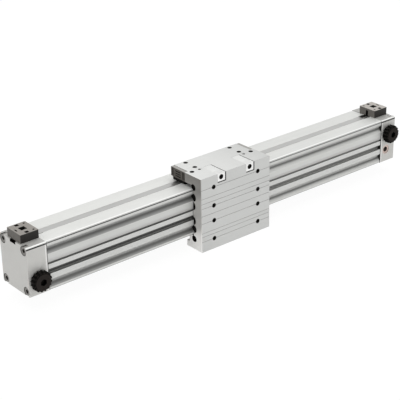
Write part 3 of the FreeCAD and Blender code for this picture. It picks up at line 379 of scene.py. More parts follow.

# %% [markdown]
# ## Shared effects
# The same effects come back in several finishes: lines that the die draws along a profile,
# the fine grain of anodising, the cloudy marks that hands leave, and painted shade deep in
# holes. Each could be built again in every material. As a node group it is built once and
# placed with that material's own amount.

# %% Making a group
def new_group(name, inputs, outputs):
    """An empty shader node group with named float inputs and outputs."""
    group = bpy.data.node_groups.new(name, "ShaderNodeTree")
    for label, value in inputs.items():
        socket = group.interface.new_socket(label, in_out="INPUT", socket_type="NodeSocketFloat")
        socket.default_value = value
    for label in outputs:
        group.interface.new_socket(label, in_out="OUTPUT", socket_type="NodeSocketFloat")
    return group, group.nodes.new("NodeGroupInput").outputs, group.nodes.new("NodeGroupOutput")


def give(group, out, **results):
    """Links results to the outputs of a group."""
    for label, socket in results.items():
        group.links.new(socket, out.inputs[label])


def around_zero(tree, noise, amount):
    """Noise from 0 to 1 turned into a change between minus and plus an amount."""
    return math_node(tree, "MULTIPLY", math_node(tree, "MULTIPLY_ADD", noise, 2, -1), amount)


print("groups take and give plain numbers")

# %% Drawn lines, anodised grain and handling marks
tree, given, out = new_group("drawn_lines", {"Amount": 0.05}, ["Shade", "Rough", "Height"])
noise = noise_over(tree, (3, 1500, 1500), 2)
give(tree, out, Shade=around_zero(tree, noise, given["Amount"]),
     Rough=math_node(tree, "MULTIPLY", noise, given["Amount"]), Height=noise)

tree, given, out = new_group("anodised_grain", {"Amount": 0.02}, ["Shade", "Height"])
noise = noise_over(tree, (2600, 2600, 2600), 1)
give(tree, out, Shade=around_zero(tree, noise, given["Amount"]), Height=noise)

tree, given, out = new_group("handling_marks", {"Amount": 0.04}, ["Shade", "Rough"])
cloud = ramp(tree, noise_over(tree, (26, 60, 60), 3, 0.6), 0.4, 0.72)
cloud = math_node(tree, "MULTIPLY", cloud, given["Amount"])
give(tree, out, Shade=math_node(tree, "MULTIPLY", cloud, -1),
     Rough=math_node(tree, "MULTIPLY", cloud, 0.8))
print(len(bpy.data.node_groups), "shared effects")

# %% Painted shade in holes and in the fine line, painted highlight on the edge
tree, given, out = new_group("painted_hole_shade", {"From": 0.45, "To": 0.85}, ["Mask"])
stored = tree.nodes.new("ShaderNodeAttribute")
stored.attribute_name = "shelter"
give(tree, out, Mask=ramp(tree, stored.outputs["Fac"], given["From"], given["To"]))

LINE_HEIGHT = 50
tree, given, out = new_group("painted_line_and_highlight", {"Half": 23.2, "Width": 0.5, "Inset": 0.0},
                             ["Line", "Edge"])
height = axis_value(tree, "Z")
inward = math_node(tree, "SUBTRACT", given["Half"], axis_value(tree, "Y", absolute=True))
off_line = math_node(tree, "ABSOLUTE", math_node(tree, "SUBTRACT", height, LINE_HEIGHT))
off_line = math_node(tree, "SUBTRACT", off_line, given["Width"])
behind = math_node(tree, "ADD", given["Half"], axis_value(tree, "Y"))
behind = math_node(tree, "SUBTRACT", behind, given["Inset"])
edge = both(tree, ramp(tree, behind, 1.8, 0.9), ramp(tree, behind, -0.5, 0.1))
give(tree, out, Line=both(tree, ramp(tree, inward, 0.6, 0.5), ramp(tree, off_line, 0.05, -0.05)),
     Edge=both(tree, edge, ramp(tree, height, 51.0, 51.3)))
print(len(bpy.data.node_groups), "shared effects")


# %% Making a finish
def effect(tree, name, **amounts):
    """A shared group placed in a material, with this material's own amounts."""
    node = tree.nodes.new("ShaderNodeGroup")
    node.node_tree = bpy.data.node_groups[name]
    for label, value in amounts.items():
        node.inputs[label].default_value = value
    return node.outputs


def finish(name, colour, metallic, roughness, lines=0.0, grain=0.0, marks=0.0, bump=0.0,
           zones=(), hole_shade=None, specular=0.5):
    """A Principled material. Lines, grain and marks are the amounts of the shared effects, and
    bump is the depth of the grain in metres. Each zone is a function that changes the colour
    on a part of the surface. Hole_shade is the colour painted deep in holes, as painted shade."""
    material = bpy.data.materials.new(name)
    material.use_nodes = True
    tree = material.node_tree
    shader = tree.nodes["Principled BSDF"]
    shader.inputs["Metallic"].default_value = metallic
    shader.inputs["Roughness"].default_value = roughness
    shader.inputs["Specular IOR Level"].default_value = specular
    amounts = {"drawn_lines": lines, "anodised_grain": grain, "handling_marks": marks}
    placed = [effect(tree, label, Amount=amount) for label, amount in amounts.items() if amount]
    parts = {label: [outputs[label] for outputs in placed if label in outputs]
             for label in ("Shade", "Rough", "Height")}

    tint = tree.nodes.new("ShaderNodeVectorMath")
    tint.operation = "SCALE"
    tint.inputs[0].default_value = colour
    tree.links.new(total(tree, 1, parts["Shade"]), tint.inputs["Scale"])
    shade = tint.outputs["Vector"]
    for zone in zones:
        shade = zone(tree, shade)
    if hole_shade:
        shade = blended(tree, effect(tree, "painted_hole_shade")["Mask"], shade, hole_shade)
    tree.links.new(shade, shader.inputs["Base Color"])

    if parts["Rough"]:
        tree.links.new(total(tree, roughness, parts["Rough"]), shader.inputs["Roughness"])
    if bump:
        raised = tree.nodes.new("ShaderNodeBump")
        raised.inputs["Strength"].default_value = 1
        raised.inputs["Distance"].default_value = bump
        heights = parts["Height"]
        tree.links.new(total(tree, heights[0], heights[1:]), raised.inputs["Height"])
        tree.links.new(raised.outputs["Normal"], shader.inputs["Normal"])
    return material


BLACK_SHADOW = (0.012, 0.011, 0.010)
# Near black, for the guides' plastic, for the plugs that stand in for shade and for painted shade
# in recesses.
NEAR_BLACK = (0.006, 0.0055, 0.005)
print("a finish takes up to three shared effects, its own zones and a colour for deep holes")

# %% [markdown]
# ## Painted shade and light on the barrel
# The barrel's grooves are painted darker toward their floor, as painted shade, and its
# rounded edges are painted duller than its flat top. Ray tracing alone leaves the grooves
# paler than the photograph shows. So a list gives each place of the section its tone, one
# list for both V grooves. The right half's flanks that look up are painted lighter, as
# painted light.

# %% Tones by place in the barrel's section
# Each entry is a height and its tone, or its tones on the left and the right half.
LEFT, RIGHT = 1, 2
BARREL_REACH = (0, 52)
# Painted shade and light: these tones darken the grooves and set the edges' brightness.
V_FLOORS = (42.6, 6.6)
V_TONES = [(5.0, 1.12, 1.18), (4.0, 1.0, 1.06), (2.4, 0.83, 0.9), (1.2, 0.69, 0.82),
           (0.8, 0.56, 0.68), (0.0, 0.32, 0.38), (-0.8, 0.18, 0.2), (-1.6, 0.21, 0.48),
           (-2.3, 0.34, 0.78), (-3.1, 0.41, 0.86), (-3.7, 0.49, 0.88)]
SLOT_TONES = [(38.4, 0.58, 0.9), (37.6, 0.85, 0.92),
              (29.8, 0.4, 0.45), (29.5, 0.09, 0.12), (27.5, 0.27, 0.6), (27.3, 0.85, 0.9),
              (22.5, 0.7, 0.65), (22.2, 0.26, 0.32), (17.3, 0.13, 0.42), (17.1, 0.5, 0.8)]
EDGE_TONES = [(0.4, 0.62), (1.0, 0.85), (1.8, 1.0), (29.45, 1.0), (29.5, 0.66), (30.6, 0.78),
              (32.5, 0.92), (34, 1.0), (50.2, 1.0), (50.7, 0.8), (51.4, 0.8), (51.55, 1.0),
              (51.65, 1.14)]


def groove_tones(half):
    """The heights and tones of the barrel's left or right half. A V groove's heights count from
    its place in V_FLOORS."""
    stops = [(floor + stop[0], stop[half]) for floor in V_FLOORS for stop in V_TONES]
    return stops + [(stop[0], stop[half]) for stop in SLOT_TONES]


print(len(groove_tones(LEFT)), "tones for the grooves and", len(EDGE_TONES), "for the edges")


# %% Zones of the barrel's sides and top
def toward_right(tree):
    """0 on the barrel's left half and 1 on its right half, with the change below the carriage."""
    return ramp(tree, axis_value(tree, "X"), -50, 45)


def painted_groove_shade(tree, shade):
    """Painted shade: the grooves' flanks are painted darker toward their floor, and those of the
    right half lighter, as painted light.
    """
    height = axis_value(tree, "Z")
    left, right = (graded(tree, height, groove_tones(half), BARREL_REACH, peak=1.4)
                   for half in (LEFT, RIGHT))
    tones = blended(tree, toward_right(tree), left, right)
    sunk = both(tree, ramp(tree, axis_value(tree, "Y", absolute=True), 23.18, 23.05),
                ramp(tree, height, 48.6, 48.4))
    return blended(tree, sunk, shade, toned(tree, shade, tones))


def painted_top_and_edge_light(tree, shade):
    """Painted light and shade: the flat top is painted brighter than the sides, and the rounded
    edges and the rib over the narrow slot duller. The top of the right half is painted darker."""
    height = axis_value(tree, "Z")
    shade = toned(tree, shade, graded(tree, height, EDGE_TONES, BARREL_REACH, peak=1.2))
    right_top = both(tree, ramp(tree, height, 51.5, 51.65), toward_right(tree))
    return blended(tree, right_top, shade, toned(tree, shade, 0.94))


def painted_line_and_highlight(half, width, dark, dark_right=None, inset=0.0):
    """A zone for the fine line below a top edge, painted dark as painted shade, and for the
    rounded edge above it, which gets a painted highlight."""
    def zone(tree, shade):
        masks = effect(tree, "painted_line_and_highlight", Half=half, Width=width, Inset=inset)
        shade = blended(tree, masks["Edge"], shade, (0.95, 0.955, 0.94))
        line = blended(tree, toward_right(tree), dark, dark_right) if dark_right else dark
        return blended(tree, masks["Line"], shade, line)
    return zone


print("zones for grooves, long edges and the fine line")


# %% Zones of the barrel's ends
def joint_shadow(tree, shade):
    """The barrel's ends, where it goes into the caps: dark on the sides, faint on the top."""
    end = both(tree, ramp(tree, axis_value(tree, "X", absolute=True), 227.1, 227.4),
               ramp(tree, axis_value(tree, "Z"), 51.6, 50.8))
    return blended(tree, end, shade, (0.2, 0.195, 0.19))


def painted_pocket_shadow(tree, shade):
    """The milled pocket at each end, beside the band, is painted black inside, as painted shadow.
    """
    along = axis_value(tree, "X")
    ends = either(tree, ramp(tree, along, 218.2, 219.6), ramp(tree, along, -224, -225))
    mask = both(tree, within(tree, axis_value(tree, "Y"), -0.9, 4.9, 0.3), ends)
    mask = both(tree, mask, ramp(tree, axis_value(tree, "Z"), 48.5, 48.8))
    return blended(tree, mask, shade, BLACK_SHADOW)


print("zones for the joints and the pockets")

# %% [markdown]
# ## Painted light and shade on the caps and the plastic parts
# The end caps are milled on all sides. Their top and ends are painted a little darker than
# their front, their edge at the barrel gets a painted highlight, and what faces the barrel
# is painted dark, as painted shadow. The plastic covers and end pieces are painted pale on
# top, and the knobs' face and crowns lighter, as painted light. Masks from places and from
# the way a face looks are enough for that, and no picture is needed.


# %% Zones of an end cap
def cap_tint_and_painted_light(tree, shade):
    """Painted light and shade: the top and ends are painted a little darker than the front, and
    the edge at the barrel gets a painted highlight. The inner face and the band's channel are
    painted dark, as painted shadow. The rim and the inside of the cushion screw's hole have a
    warm tint."""
    along = axis_value(tree, "X", absolute=True)
    across = axis_value(tree, "Y", absolute=True)
    height = axis_value(tree, "Z")
    shade = blended(tree, facing(tree, "Z"), shade, toned(tree, shade, 0.74))
    shade = blended(tree, facing(tree, "X"), shade, toned(tree, shade, 0.97))
    hole = both(tree, within(tree, across, 22.4, 22.65), within(tree, height, 8.8, 20.2))
    shade = blended(tree, hole, shade, (0.78, 0.62, 0.56))
    front = ramp(tree, across, 23.4, 23.45)
    screw = box_mm("right_cushion_screw").mean(axis=0)
    away = away_from(tree, (screw[0], screw[2]), along, height)
    shade = blended(tree, both(tree, within(tree, away, 5.3, 6.3, 0.2), front), shade,
                    (0.74, 0.66, 0.62))
    shade = blended(tree, both(tree, within(tree, along, 228.4, 229.7, 0.1), front), shade,
                    (0.93, 0.92, 0.90))
    channel = both(tree, ramp(tree, across, 5.0, 4.7), within(tree, height, 49.2, 51.8))
    inner = both(tree, ramp(tree, along, 228.25, 228.1), ramp(tree, height, 51.2, 50.6))
    return blended(tree, either(tree, channel, inner), shade, BLACK_SHADOW)


print("zones for the end caps")


# %% Zones of the covers, the knobs and the end pieces
def painted_cover_light(tree, shade):
    """Painted light: the covers' top is painted pale, paler toward the right, their ends darker
    and their long sides dark.
    """
    shade = blended(tree, facing(tree, "X"), shade, (0.14, 0.13, 0.118))
    top = graded(tree, axis_value(tree, "X"), [(-240, (0.32, 0.3, 0.275)),
                                               (240, (0.52, 0.49, 0.455))])
    return blended(tree, facing(tree, "Z"), shade, top)


def painted_knob_sheen(tree, shade):
    """Painted light: the plug's front and the crowns between its grips are painted lighter, as a
    painted sheen.
    """
    crown = tree.nodes.new("ShaderNodeAttribute")
    crown.attribute_name = "crown"
    shade = blended(tree, ramp(tree, crown.outputs["Fac"], 10.1, 10.6), shade,
                    (0.014, 0.012, 0.011))
    return blended(tree, facing(tree, "Y"), shade, (0.026, 0.022, 0.020))


def painted_end_plate_light(tree, shade):
    """Painted light: the end piece's top is painted pale, as if lit from above."""
    return blended(tree, facing(tree, "Z"), shade, (0.40, 0.39, 0.37))


print("zones for the plastic parts")

# %% [markdown]
# ## Painted light and shade on the carriage
# The carriage is sawn off a long profile. Its sawn ends are painted darker toward the top,
# as painted shade, and their broken edges get painted highlights. Two dogs are let into its
# front edge: their front is painted bright and the edges in their narrow gap dark, as
# painted light and shadow. Whatever lies behind the outer faces, such as channels and the
# tunnel, is painted dark, as painted shadow. The guides' middle comes from the frame, so the
# round channels follow the solid.

# %% Measures of the carriage
CARRIAGE_MIDDLE = -5
# Painted shade on the sawn ends: a tone by height, pale at the foot and dark at the top.
END_TONES = [(-15.7, (0.95, 0.94, 0.92)), (2, (0.84, 0.825, 0.80)), (14, (0.6, 0.59, 0.57)),
             (26, (0.56, 0.55, 0.53)), (40, (0.52, 0.51, 0.49)), (52, (0.32, 0.31, 0.295)),
             (66.4, (0.22, 0.21, 0.195))]
OUTER_FACES = (("Y", -36.85, -36.95), ("Y", 11.1, 11.2), ("Z", 66.0, 66.1), ("Z", -15.3, -15.4))
# Across, height from the guides' middle, radius, and where the barrel cuts it off.
ROUND_CHANNEL, SIDE_HOLLOW = (-24.6, 29, 3.6, -20), (-22.7, 8.4, 5.0, -23.6)
GUIDE_MIDDLE = float(np.mean([box_mm("upper_guide_bar")[:, 2], box_mm("lower_guide_bar")[:, 2]]))
print("guides' middle at", round(GUIDE_MIDDLE, 2), "mm")


# %% Zones of the carriage
def painted_end_light_and_shade(tree, shade):
    """Painted shade and highlights on the carriage's sawn ends: they are painted darker toward
    the top. Their front edge and the mouth of the lower round channel get a painted highlight."""
    across, height = axis_value(tree, "Y"), axis_value(tree, "Z")
    ends = graded(tree, height, END_TONES)
    ends = blended(tree, ramp(tree, across, -35.9, -36.3), ends, toned(tree, ends, 1.3))
    mouth = (ROUND_CHANNEL[0], GUIDE_MIDDLE - ROUND_CHANNEL[1])
    away = away_from(tree, mouth, across, height)
    ends = blended(tree, within(tree, away, 3.4, 4.7, 0.1), ends, (0.95, 0.94, 0.92))
    return blended(tree, facing(tree, "X"), shade, ends)


def painted_carriage_shade(tree, shade):
    """Painted shadow on everything behind the carriage's outer faces: holes, channels, sockets and
    the tunnel. The front is painted a little darker, its fine lines grey as painted shade, and
    the top darker toward the right, as painted light."""
    place = {axis: axis_value(tree, axis) for axis in "XYZ"}
    off = math_node(tree, "ABSOLUTE", math_node(tree, "SUBTRACT", place["X"], CARRIAGE_MIDDLE))
    outer = ramp(tree, off, 46.1, 46.2)
    for axis, low, high in OUTER_FACES:
        outer = either(tree, outer, ramp(tree, place[axis], low, high))
    lip = both(tree, ramp(tree, place["Y"], -18.0, -17.5), ramp(tree, place["Z"], 0, -0.4))
    shade = blended(tree, facing(tree, "Y"), shade, toned(tree, shade, 0.93))
    fade = graded(tree, place["X"], [(-51, 1.0), (-30, 0.96), (-10, 0.96), (41, 0.8)])
    shade = blended(tree, facing(tree, "Z"), shade, toned(tree, shade, toned(tree, fade, 1.06)))
    shade = blended(tree, within(tree, place["Y"], -37.22, -36.9, 0.03), shade, (0.38, 0.38, 0.37))
    return blended(tree, either(tree, outer, lip), (0.018, 0.016, 0.014), shade)


print("zones for the carriage")


# %% Zone of the driver dogs
def painted_dog_light_and_shadow(tree, shade):
    """Painted light: the driver dogs' milled front is painted as the brightest face of the
    carriage. Its lower and right edges are broken by a chamfer that is painted dark, as painted
    shadow in the gap."""
    boxes = [box_mm(side + "_driver_dog") for side in ("left", "right")]
    along = axis_value(tree, "X")
    lower = boxes[0][0][2]
    shadow = ramp(tree, axis_value(tree, "Z"), lower + 0.75, lower + 0.6)
    for box in boxes:
        end = box[1][0]
        shadow = either(tree, shadow, within(tree, along, end - 0.85, end + 1))
    front = facing(tree, "Y")
    shade = blended(tree, front, shade, (1.0, 1.0, 0.99))
    return blended(tree, both(tree, front, shadow), shade, (0.006, 0.006, 0.005))


print("zone for the driver dogs")

# %% [markdown]
# ## Finishes
# Each finish is a colour, a metallic share, a roughness and its own amounts of the effects.
# Anodised aluminium isn't a bare mirror: its clear oxide scatters light, so a metallic share
# of 0.3 over a pale grey comes closer than full metal. Screws and the band are bare steel.

# %% Metals
drawn_aluminium = finish(
    "drawn_aluminium", (0.715, 0.72, 0.70), 0.3, 0.45, lines=0.05, grain=0.02, marks=0.04,
    bump=4e-6, zones=[painted_groove_shade, painted_top_and_edge_light,
                      painted_line_and_highlight(23.2, 0.5, 0.05, 0.22, inset=0.8), joint_shadow, painted_pocket_shadow])
carriage_aluminium = finish(
    "carriage_aluminium", (0.72, 0.725, 0.71), 0.3, 0.42, lines=0.03, grain=0.02, marks=0.03,
    bump=3e-6, zones=[painted_carriage_shade, painted_end_light_and_shade], hole_shade=(0.02, 0.018, 0.016))
dog_aluminium = finish(
    "dog_aluminium", (0.77, 0.775, 0.76), 0.3, 0.42, grain=0.02, marks=0.03,
    bump=3e-6, zones=[painted_dog_light_and_shadow], hole_shade=BLACK_SHADOW)
cap_aluminium = finish(
    "cap_aluminium", (0.66, 0.655, 0.63), 0.3, 0.55, grain=0.04, marks=0.04,
    bump=8e-6, zones=[cap_tint_and_painted_light, painted_line_and_highlight(23.5, 0.75, 0.03)], hole_shade=(0.03, 0.028, 0.025))
band_steel = finish("band_steel", (0.48, 0.48, 0.47), 1.0, 0.30, lines=0.06, marks=0.05,
                    zones=[painted_pocket_shadow])
screw_steel = finish("screw_steel", (0.42, 0.41, 0.39), 1.0, 0.35, marks=0.05)
head_steel = finish("head_steel", (0.24, 0.23, 0.215), 0.6, 0.4, grain=0.05, marks=0.1,
                    hole_shade=(0.006, 0.006, 0.005))
# Painted shade: the cushion screws sit deep in their holes and are painted dark.
shaded_needle_steel = finish("shaded_needle_steel", (0.05, 0.035, 0.028), 0.6, 0.5, grain=0.05, marks=0.1)
dark_steel = finish("dark_steel", (0.05, 0.05, 0.05), 0.8, 0.4, marks=0.03)
brass = finish("brass", (0.62, 0.40, 0.20), 1.0, 0.3, marks=0.05)
print(len(bpy.data.materials), "materials with the metals")

# %% Plastics, rubber and foam
end_plate_plastic = finish(
    "end_plate_plastic", (0.085, 0.076, 0.066), 0.0, 0.5, grain=0.1, marks=0.1,
    bump=2e-5, zones=[painted_end_plate_light], hole_shade=(0.004, 0.004, 0.003), specular=0.3)
knob_plastic = finish(
    "knob_plastic", (0.002, 0.0018, 0.0015), 0.0, 0.6, grain=0.15, marks=0.1,
    bump=2e-5, zones=[painted_knob_sheen], hole_shade=(0.001, 0.001, 0.001), specular=0.05)
black_plastic = finish(
    "black_plastic", (0.030, 0.026, 0.023), 0.0, 0.5, grain=0.15, marks=0.1,
    bump=2e-5, hole_shade=(0.002, 0.002, 0.002), specular=0.3)
cover_plastic = finish(
    "cover_plastic", (0.022, 0.020, 0.018), 0.0, 0.5, grain=0.06, marks=0.05,
    bump=1.5e-5, zones=[painted_cover_light], hole_shade=(0.002, 0.002, 0.002), specular=0.25)
slide_plastic = finish("slide_plastic", NEAR_BLACK, 0.0, 0.8, grain=0.1, specular=0.05)
seal_rubber = finish("seal_rubber", (0.006, 0.006, 0.0055), 0.0, 0.8, grain=0.1, specular=0.1)
# Painted shade: the plugs' black stands in for the shade in the carriage's hollows.
shade_plug_black = finish("shade_plug_black", NEAR_BLACK, 0.0, 0.95, grain=0.4, bump=6e-5, specular=0.0)
# Painted shade: the black of recesses that lie in shadow, such as the caps' band channel.
painted_recess_shade = finish("painted_recess_shade", NEAR_BLACK, 0.0, 0.9, grain=0.2, specular=0.0)
SLOT_FINISH = {
    "anodised_aluminium": drawn_aluminium, "carriage_aluminium": carriage_aluminium,
    "cap_aluminium": cap_aluminium, "band_steel": band_steel, "screw_steel": screw_steel,
    "dark_steel": dark_steel, "tube_steel": screw_steel, "yoke_aluminium": cap_aluminium,
    "black_plastic": black_plastic, "cover_plastic": cover_plastic,
    "slide_plastic": slide_plastic, "magnet": dark_steel, "seal_rubber": seal_rubber,
    "brass": brass,
}
print(len(SLOT_FINISH), "slots have a finish")

# %% [markdown]
# ## Barrel
# The barrel is one extrusion. It could be cut out of a block with many Booleans, but a
# drawn profile is its section, so the section is written as a single closed line: down the
# outside with its grooves, under the floor, up the other side, in through the slot, round
# the bore and out again. Over the last 9 mm of each end a wider pocket is milled for the
# band's clamp.

# %% The side of the section
HALF, TOP, LOW = 23.2, 51.7, 0.3


def v_groove(middle):
    """A V groove's four corners, from above to below, each with its cut."""
    floor = HALF - 3.6
    return [(HALF, middle + 4.2, .35), (floor, middle + .6, .3),
            (floor, middle - .6, .3), (HALF, middle - 4.2, .35)]


NARROW, LIP, NUT = HALF - 2.4, HALF - 1.8, HALF - 4.2
top_edge = [(HALF, TOP, 1.0), (HALF, 50.5, .12), (HALF - .5, LINE_HEIGHT, .05), (HALF, 49.5, .12)]
narrow_slot = [(HALF, 29.55, .12), (NARROW, 29.55, .1), (NARROW, 27.45, .1), (HALF, 27.45, .12)]
nut_slot = [(HALF, 22.4, .25), (LIP, 22.4, .15), (LIP, 23.5, .1), (NUT, 23.5, .3),
            (NUT, 16.1, .3), (LIP, 16.1, .1), (LIP, 17.2, .15), (HALF, 17.2, .25)]
side = np.array(top_edge + v_groove(42.8) + narrow_slot + nut_slot + v_groove(7.2)
                + [(HALF, LOW, 1.0)])
print(len(side), "corners on each side of the barrel")

# %% The barrel
BORE, BORE_HEIGHT = 16, 24
SLOT_HALF, INNER_SEAT_HALF, INNER_SEAT_TOP = 2.4, 4.1, 40.5


def barrel_section(seat_half, seat_floor):
    """The closed outline with the band's seat of a given half width and floor. The bore is the
    circle (-r cos t, h + r sin t), open where the inner band's seat meets it."""
    seat = np.array([(SLOT_HALF, seat_floor, .15), (seat_half, seat_floor, .1),
                     (seat_half, TOP, .2)])
    outside = np.concatenate([seat, side])
    outside = np.concatenate([outside, outside[::-1] * (-1, 1, 1)])
    opening = math.acos(INNER_SEAT_HALF / BORE)
    turn = np.linspace(opening, -math.pi - opening, 73)
    bore = np.column_stack([-BORE * np.cos(turn), BORE_HEIGHT + BORE * np.sin(turn)])
    inner_seat = np.array([(-SLOT_HALF, INNER_SEAT_TOP), (-INNER_SEAT_HALF, INNER_SEAT_TOP)])
    return np.concatenate([eased(outside[:, :2], outside[:, 2]), inner_seat, bore,
                           inner_seat[::-1] * (-1, 1)])


main_section = barrel_section(4.2, 50.7)
end_section = barrel_section(4.8, 49.4)
stations = (-228, -219, -219, -110, 0, 110, 219, 219, 228)
sections = [end_section] * 2 + [main_section] * 5 + [end_section] * 2
add_piece("barrel_profile", extruded("barrel_profile", stations, sections), "base",
          drawn_aluminium, ["barrel"])

# %% [markdown]
# ## Bands
# A steel band closes the slot from outside and a second one from inside. They bend round
# the yoke inside the carriage, wherever it stands, and lie straight elsewhere. A band that
# bends along with the carriage would need a rig, but its hump never shows, so a straight
# strip is right at every place of the carriage.

# %% Two strips
EASE = .15
for name, low, half, thick, crown in (("outer_band", 50.75, 3.85, 1.1, .12),
                                      ("inner_band", 40.05, 4.0, .4, 0.0)):
    across = np.linspace(-half + EASE, half - EASE, 15)
    top = np.column_stack([across, low + thick - crown * (across / half) ** 2])
    edge = low + thick - crown - EASE
    outline = np.concatenate([[(half - .1, low), (-half + .1, low), (-half, low + .1),
                               (-half, edge)], top, [(half, edge), (half, low + .1)]])[::-1]
    add_piece(name + "_strip", extruded(name, box_mm(name)[:, 0], [outline] * 2), "base",
              band_steel, [name])

# %% [markdown]
# ## Hand plugs
# Each front port is closed by a plug that is turned by hand: a threaded stem, and a moulded
# knob with sixteen round grips and a six-sided socket. Cylinders and Booleans would leave
# hard seams, so one surface runs from the socket's floor over the face and the grips to the
# tip of the stem.

# %% The knob's outline
KNOB, ROOT, GRIP, GRIPS = 10.6, 9.6, 1.6, 16


def knob_outline(turn):
    """The radius at each angle: the knob's own, or where the ray meets the circle of the nearest
    grip, which is d cos a - sqrt(g^2 - d^2 sin^2 a) for a circle of radius g at distance d."""
    part = 2 * math.pi / GRIPS
    angle = (turn + part / 2) % part - part / 2
    away = ROOT + GRIP
    inside = np.maximum(GRIP ** 2 - (away * np.sin(angle)) ** 2, 0)
    return np.minimum(KNOB, np.where(inside > 0, away * np.cos(angle) - np.sqrt(inside), KNOB))


print(GRIPS, "grips on a knob of", 2 * KNOB, "mm")

# %% One surface for a plug
STEM, THREAD_DEEP, PITCH, THREAD_START = 5.8, 0.35, 1.337, 8.5
SOCKET, SOCKET_DEEP, ROUNDING, KNOB_BACK = 3, 4.4, 1.4, 7.2


def plug_mesh(name, middle, height, face, tip):
    """Rows of a turned surface: row i has the depth t_i behind the face and the radius r_i at
    each angle. The socket's radius is a / cos b, b the angle to its nearest flat. The stem's
    is s - h |2 frac(t / pitch - angle / 2 pi) - 1|, a thread."""
    turn = np.linspace(0, 2 * math.pi, 12 * GRIPS, endpoint=False)
    flat = (turn + math.pi / 6) % (math.pi / 3) - math.pi / 6
    socket = SOCKET / np.cos(flat)
    outline = knob_outline(turn)
    rows = [(SOCKET_DEEP, 0), (SOCKET_DEEP, socket), (0.3, socket), (0.05, socket + 0.2),
            (0, socket + 0.5), (0, 8.2), (0.1, 8.45), (0.35, 8.55), (0.9, 8.6), (0.95, 8.65)]
    rows += [(0.8 + ROUNDING * (1 - math.cos(a)), outline - ROUNDING + ROUNDING * math.sin(a))
             for a in np.linspace(0.1, math.pi / 2, 8)]
    rows += [(6.6, outline), (7.0, outline - 0.12), (KNOB_BACK, outline - 0.4), (KNOB_BACK, STEM)]
    for t in np.arange(THREAD_START, tip - face - 0.7, PITCH / 8):
        wave = np.abs(2 * ((t / PITCH - turn / (2 * math.pi)) % 1) - 1)
        rows.append((t, STEM - THREAD_DEEP * wave * min(1, (t - THREAD_START) / 2)))
    rows += [(tip - face, STEM - 0.9), (tip - face, 0)]
    depth = np.array([row[0] for row in rows])[:, None]
    radius = np.array([np.broadcast_to(row[1], turn.shape) for row in rows])
    points = np.stack([middle + radius * np.cos(turn), face + depth + 0 * radius,
                       height + radius * np.sin(turn)], axis=2)
    return tidied(grid_mesh(name, points, ends=False), 35)


for side_name in ("left", "right"):
    low, high = box_mm(side_name + "_port_plug")
    middle, height = (low[0] + high[0]) / 2, (low[2] + high[2]) / 2
    mesh = plug_mesh(side_name + "_knob", middle, height, low[1], high[1])
    shelter(mesh)
    places = np.array([vertex.co for vertex in mesh.vertices]) / MM
    away = np.hypot(places[:, 0] - middle, places[:, 2] - height)
    mesh.attributes.new("crown", "FLOAT", "POINT").data.foreach_set("value", away)
    add_piece(side_name + "_hand_plug", mesh, side_name + "_plug", knob_plastic,
              [side_name + "_port_plug"])

# %% [markdown]
# ## The other pieces
# Caps, covers, carriage and screws have the right shape as solids, so they aren't built
# again. A copy of each gets its doubles merged and its flat faces joined, and all but the
# screws a narrow bevel, because a real edge is never quite sharp and shows as a bright line.

# %% Dressed copies
def dressed(name, bevel, material=None, recess=None, angle=30):
    """A copy of a node with joined faces and eased edges, in the finish of its slot. The faces
    whose middle a recess function picks get a black that paints the recess's shade."""
    source = nodes[name]
    mesh = source.data.copy()
    work = bmesh.new()
    work.from_mesh(mesh)
    bmesh.ops.remove_doubles(work, verts=work.verts, dist=2e-6)
    bmesh.ops.dissolve_limit(work, angle_limit=math.radians(0.5), verts=work.verts,
                             edges=work.edges)
    work.to_mesh(mesh)
    work.free()
    shelter(mesh)
    shaded_smooth(mesh, angle)
    slot = slot_of[name]
    piece = add_piece(name + "_piece", mesh, source["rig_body"], material or SLOT_FINISH[slot],
                      [name])
    if recess:
        mesh.materials.append(painted_recess_shade)
        middles = np.array([face.center for face in mesh.polygons]) / MM
        mesh.polygons.foreach_set("material_index", recess(*middles.T).astype(np.int32))
    if bevel:
        edge = piece.modifiers.new("eased_edges", "BEVEL")
        edge.width = bevel * MM
        edge.segments = 2
        edge.limit_method = "ANGLE"
        edge.angle_limit = math.radians(angle)


def band_channel(x, y, z):
    """The faces of an end cap that lie in the band's channel."""
    return (abs(y) < 4.85) & (z > 49.3) & (z < 51.95)


dressed("carriage", .25)
for side_name in ("left", "right"):
    dressed(side_name + "_end_cap", .3, recess=band_channel)
    dressed(side_name + "_cap_screws", 0, head_steel)
    dressed(side_name + "_band_cover", .4)
    dressed(side_name + "_driver_dog", .2, dog_aluminium)
    dressed(side_name + "_end_piece", .15, end_plate_plastic)

# %% [markdown]
# ## Black plugs as painted shade in the carriage's hollows
# The round channels and hollows beside the barrel look black at the carriage's end. Paint
# would do for one view, but from the side the channels would still be open. So black plugs
# close them at both ends and stand in for the shade in the hollows. Each is a short piece of
# a circle, cut flat where the barrel passes.

# %% Black plugs that stand in for shade
PLUG_START, PLUG_END, PLUG_GAP = 0.5, 2.5, 0.15


def plug_outline(middle, height, radius, limit):
    """The circle (m + r cos t, h + r sin t), without the part nearer the barrel than a limit."""
    cut = limit < middle + radius
    reach = math.acos(max(-1.0, min(1.0, (limit - middle) / radius))) if cut else 0
    t = np.linspace(reach, 2 * math.pi - reach, 33, endpoint=cut)
    return np.column_stack([middle + radius * np.cos(t), height + radius * np.sin(t)])


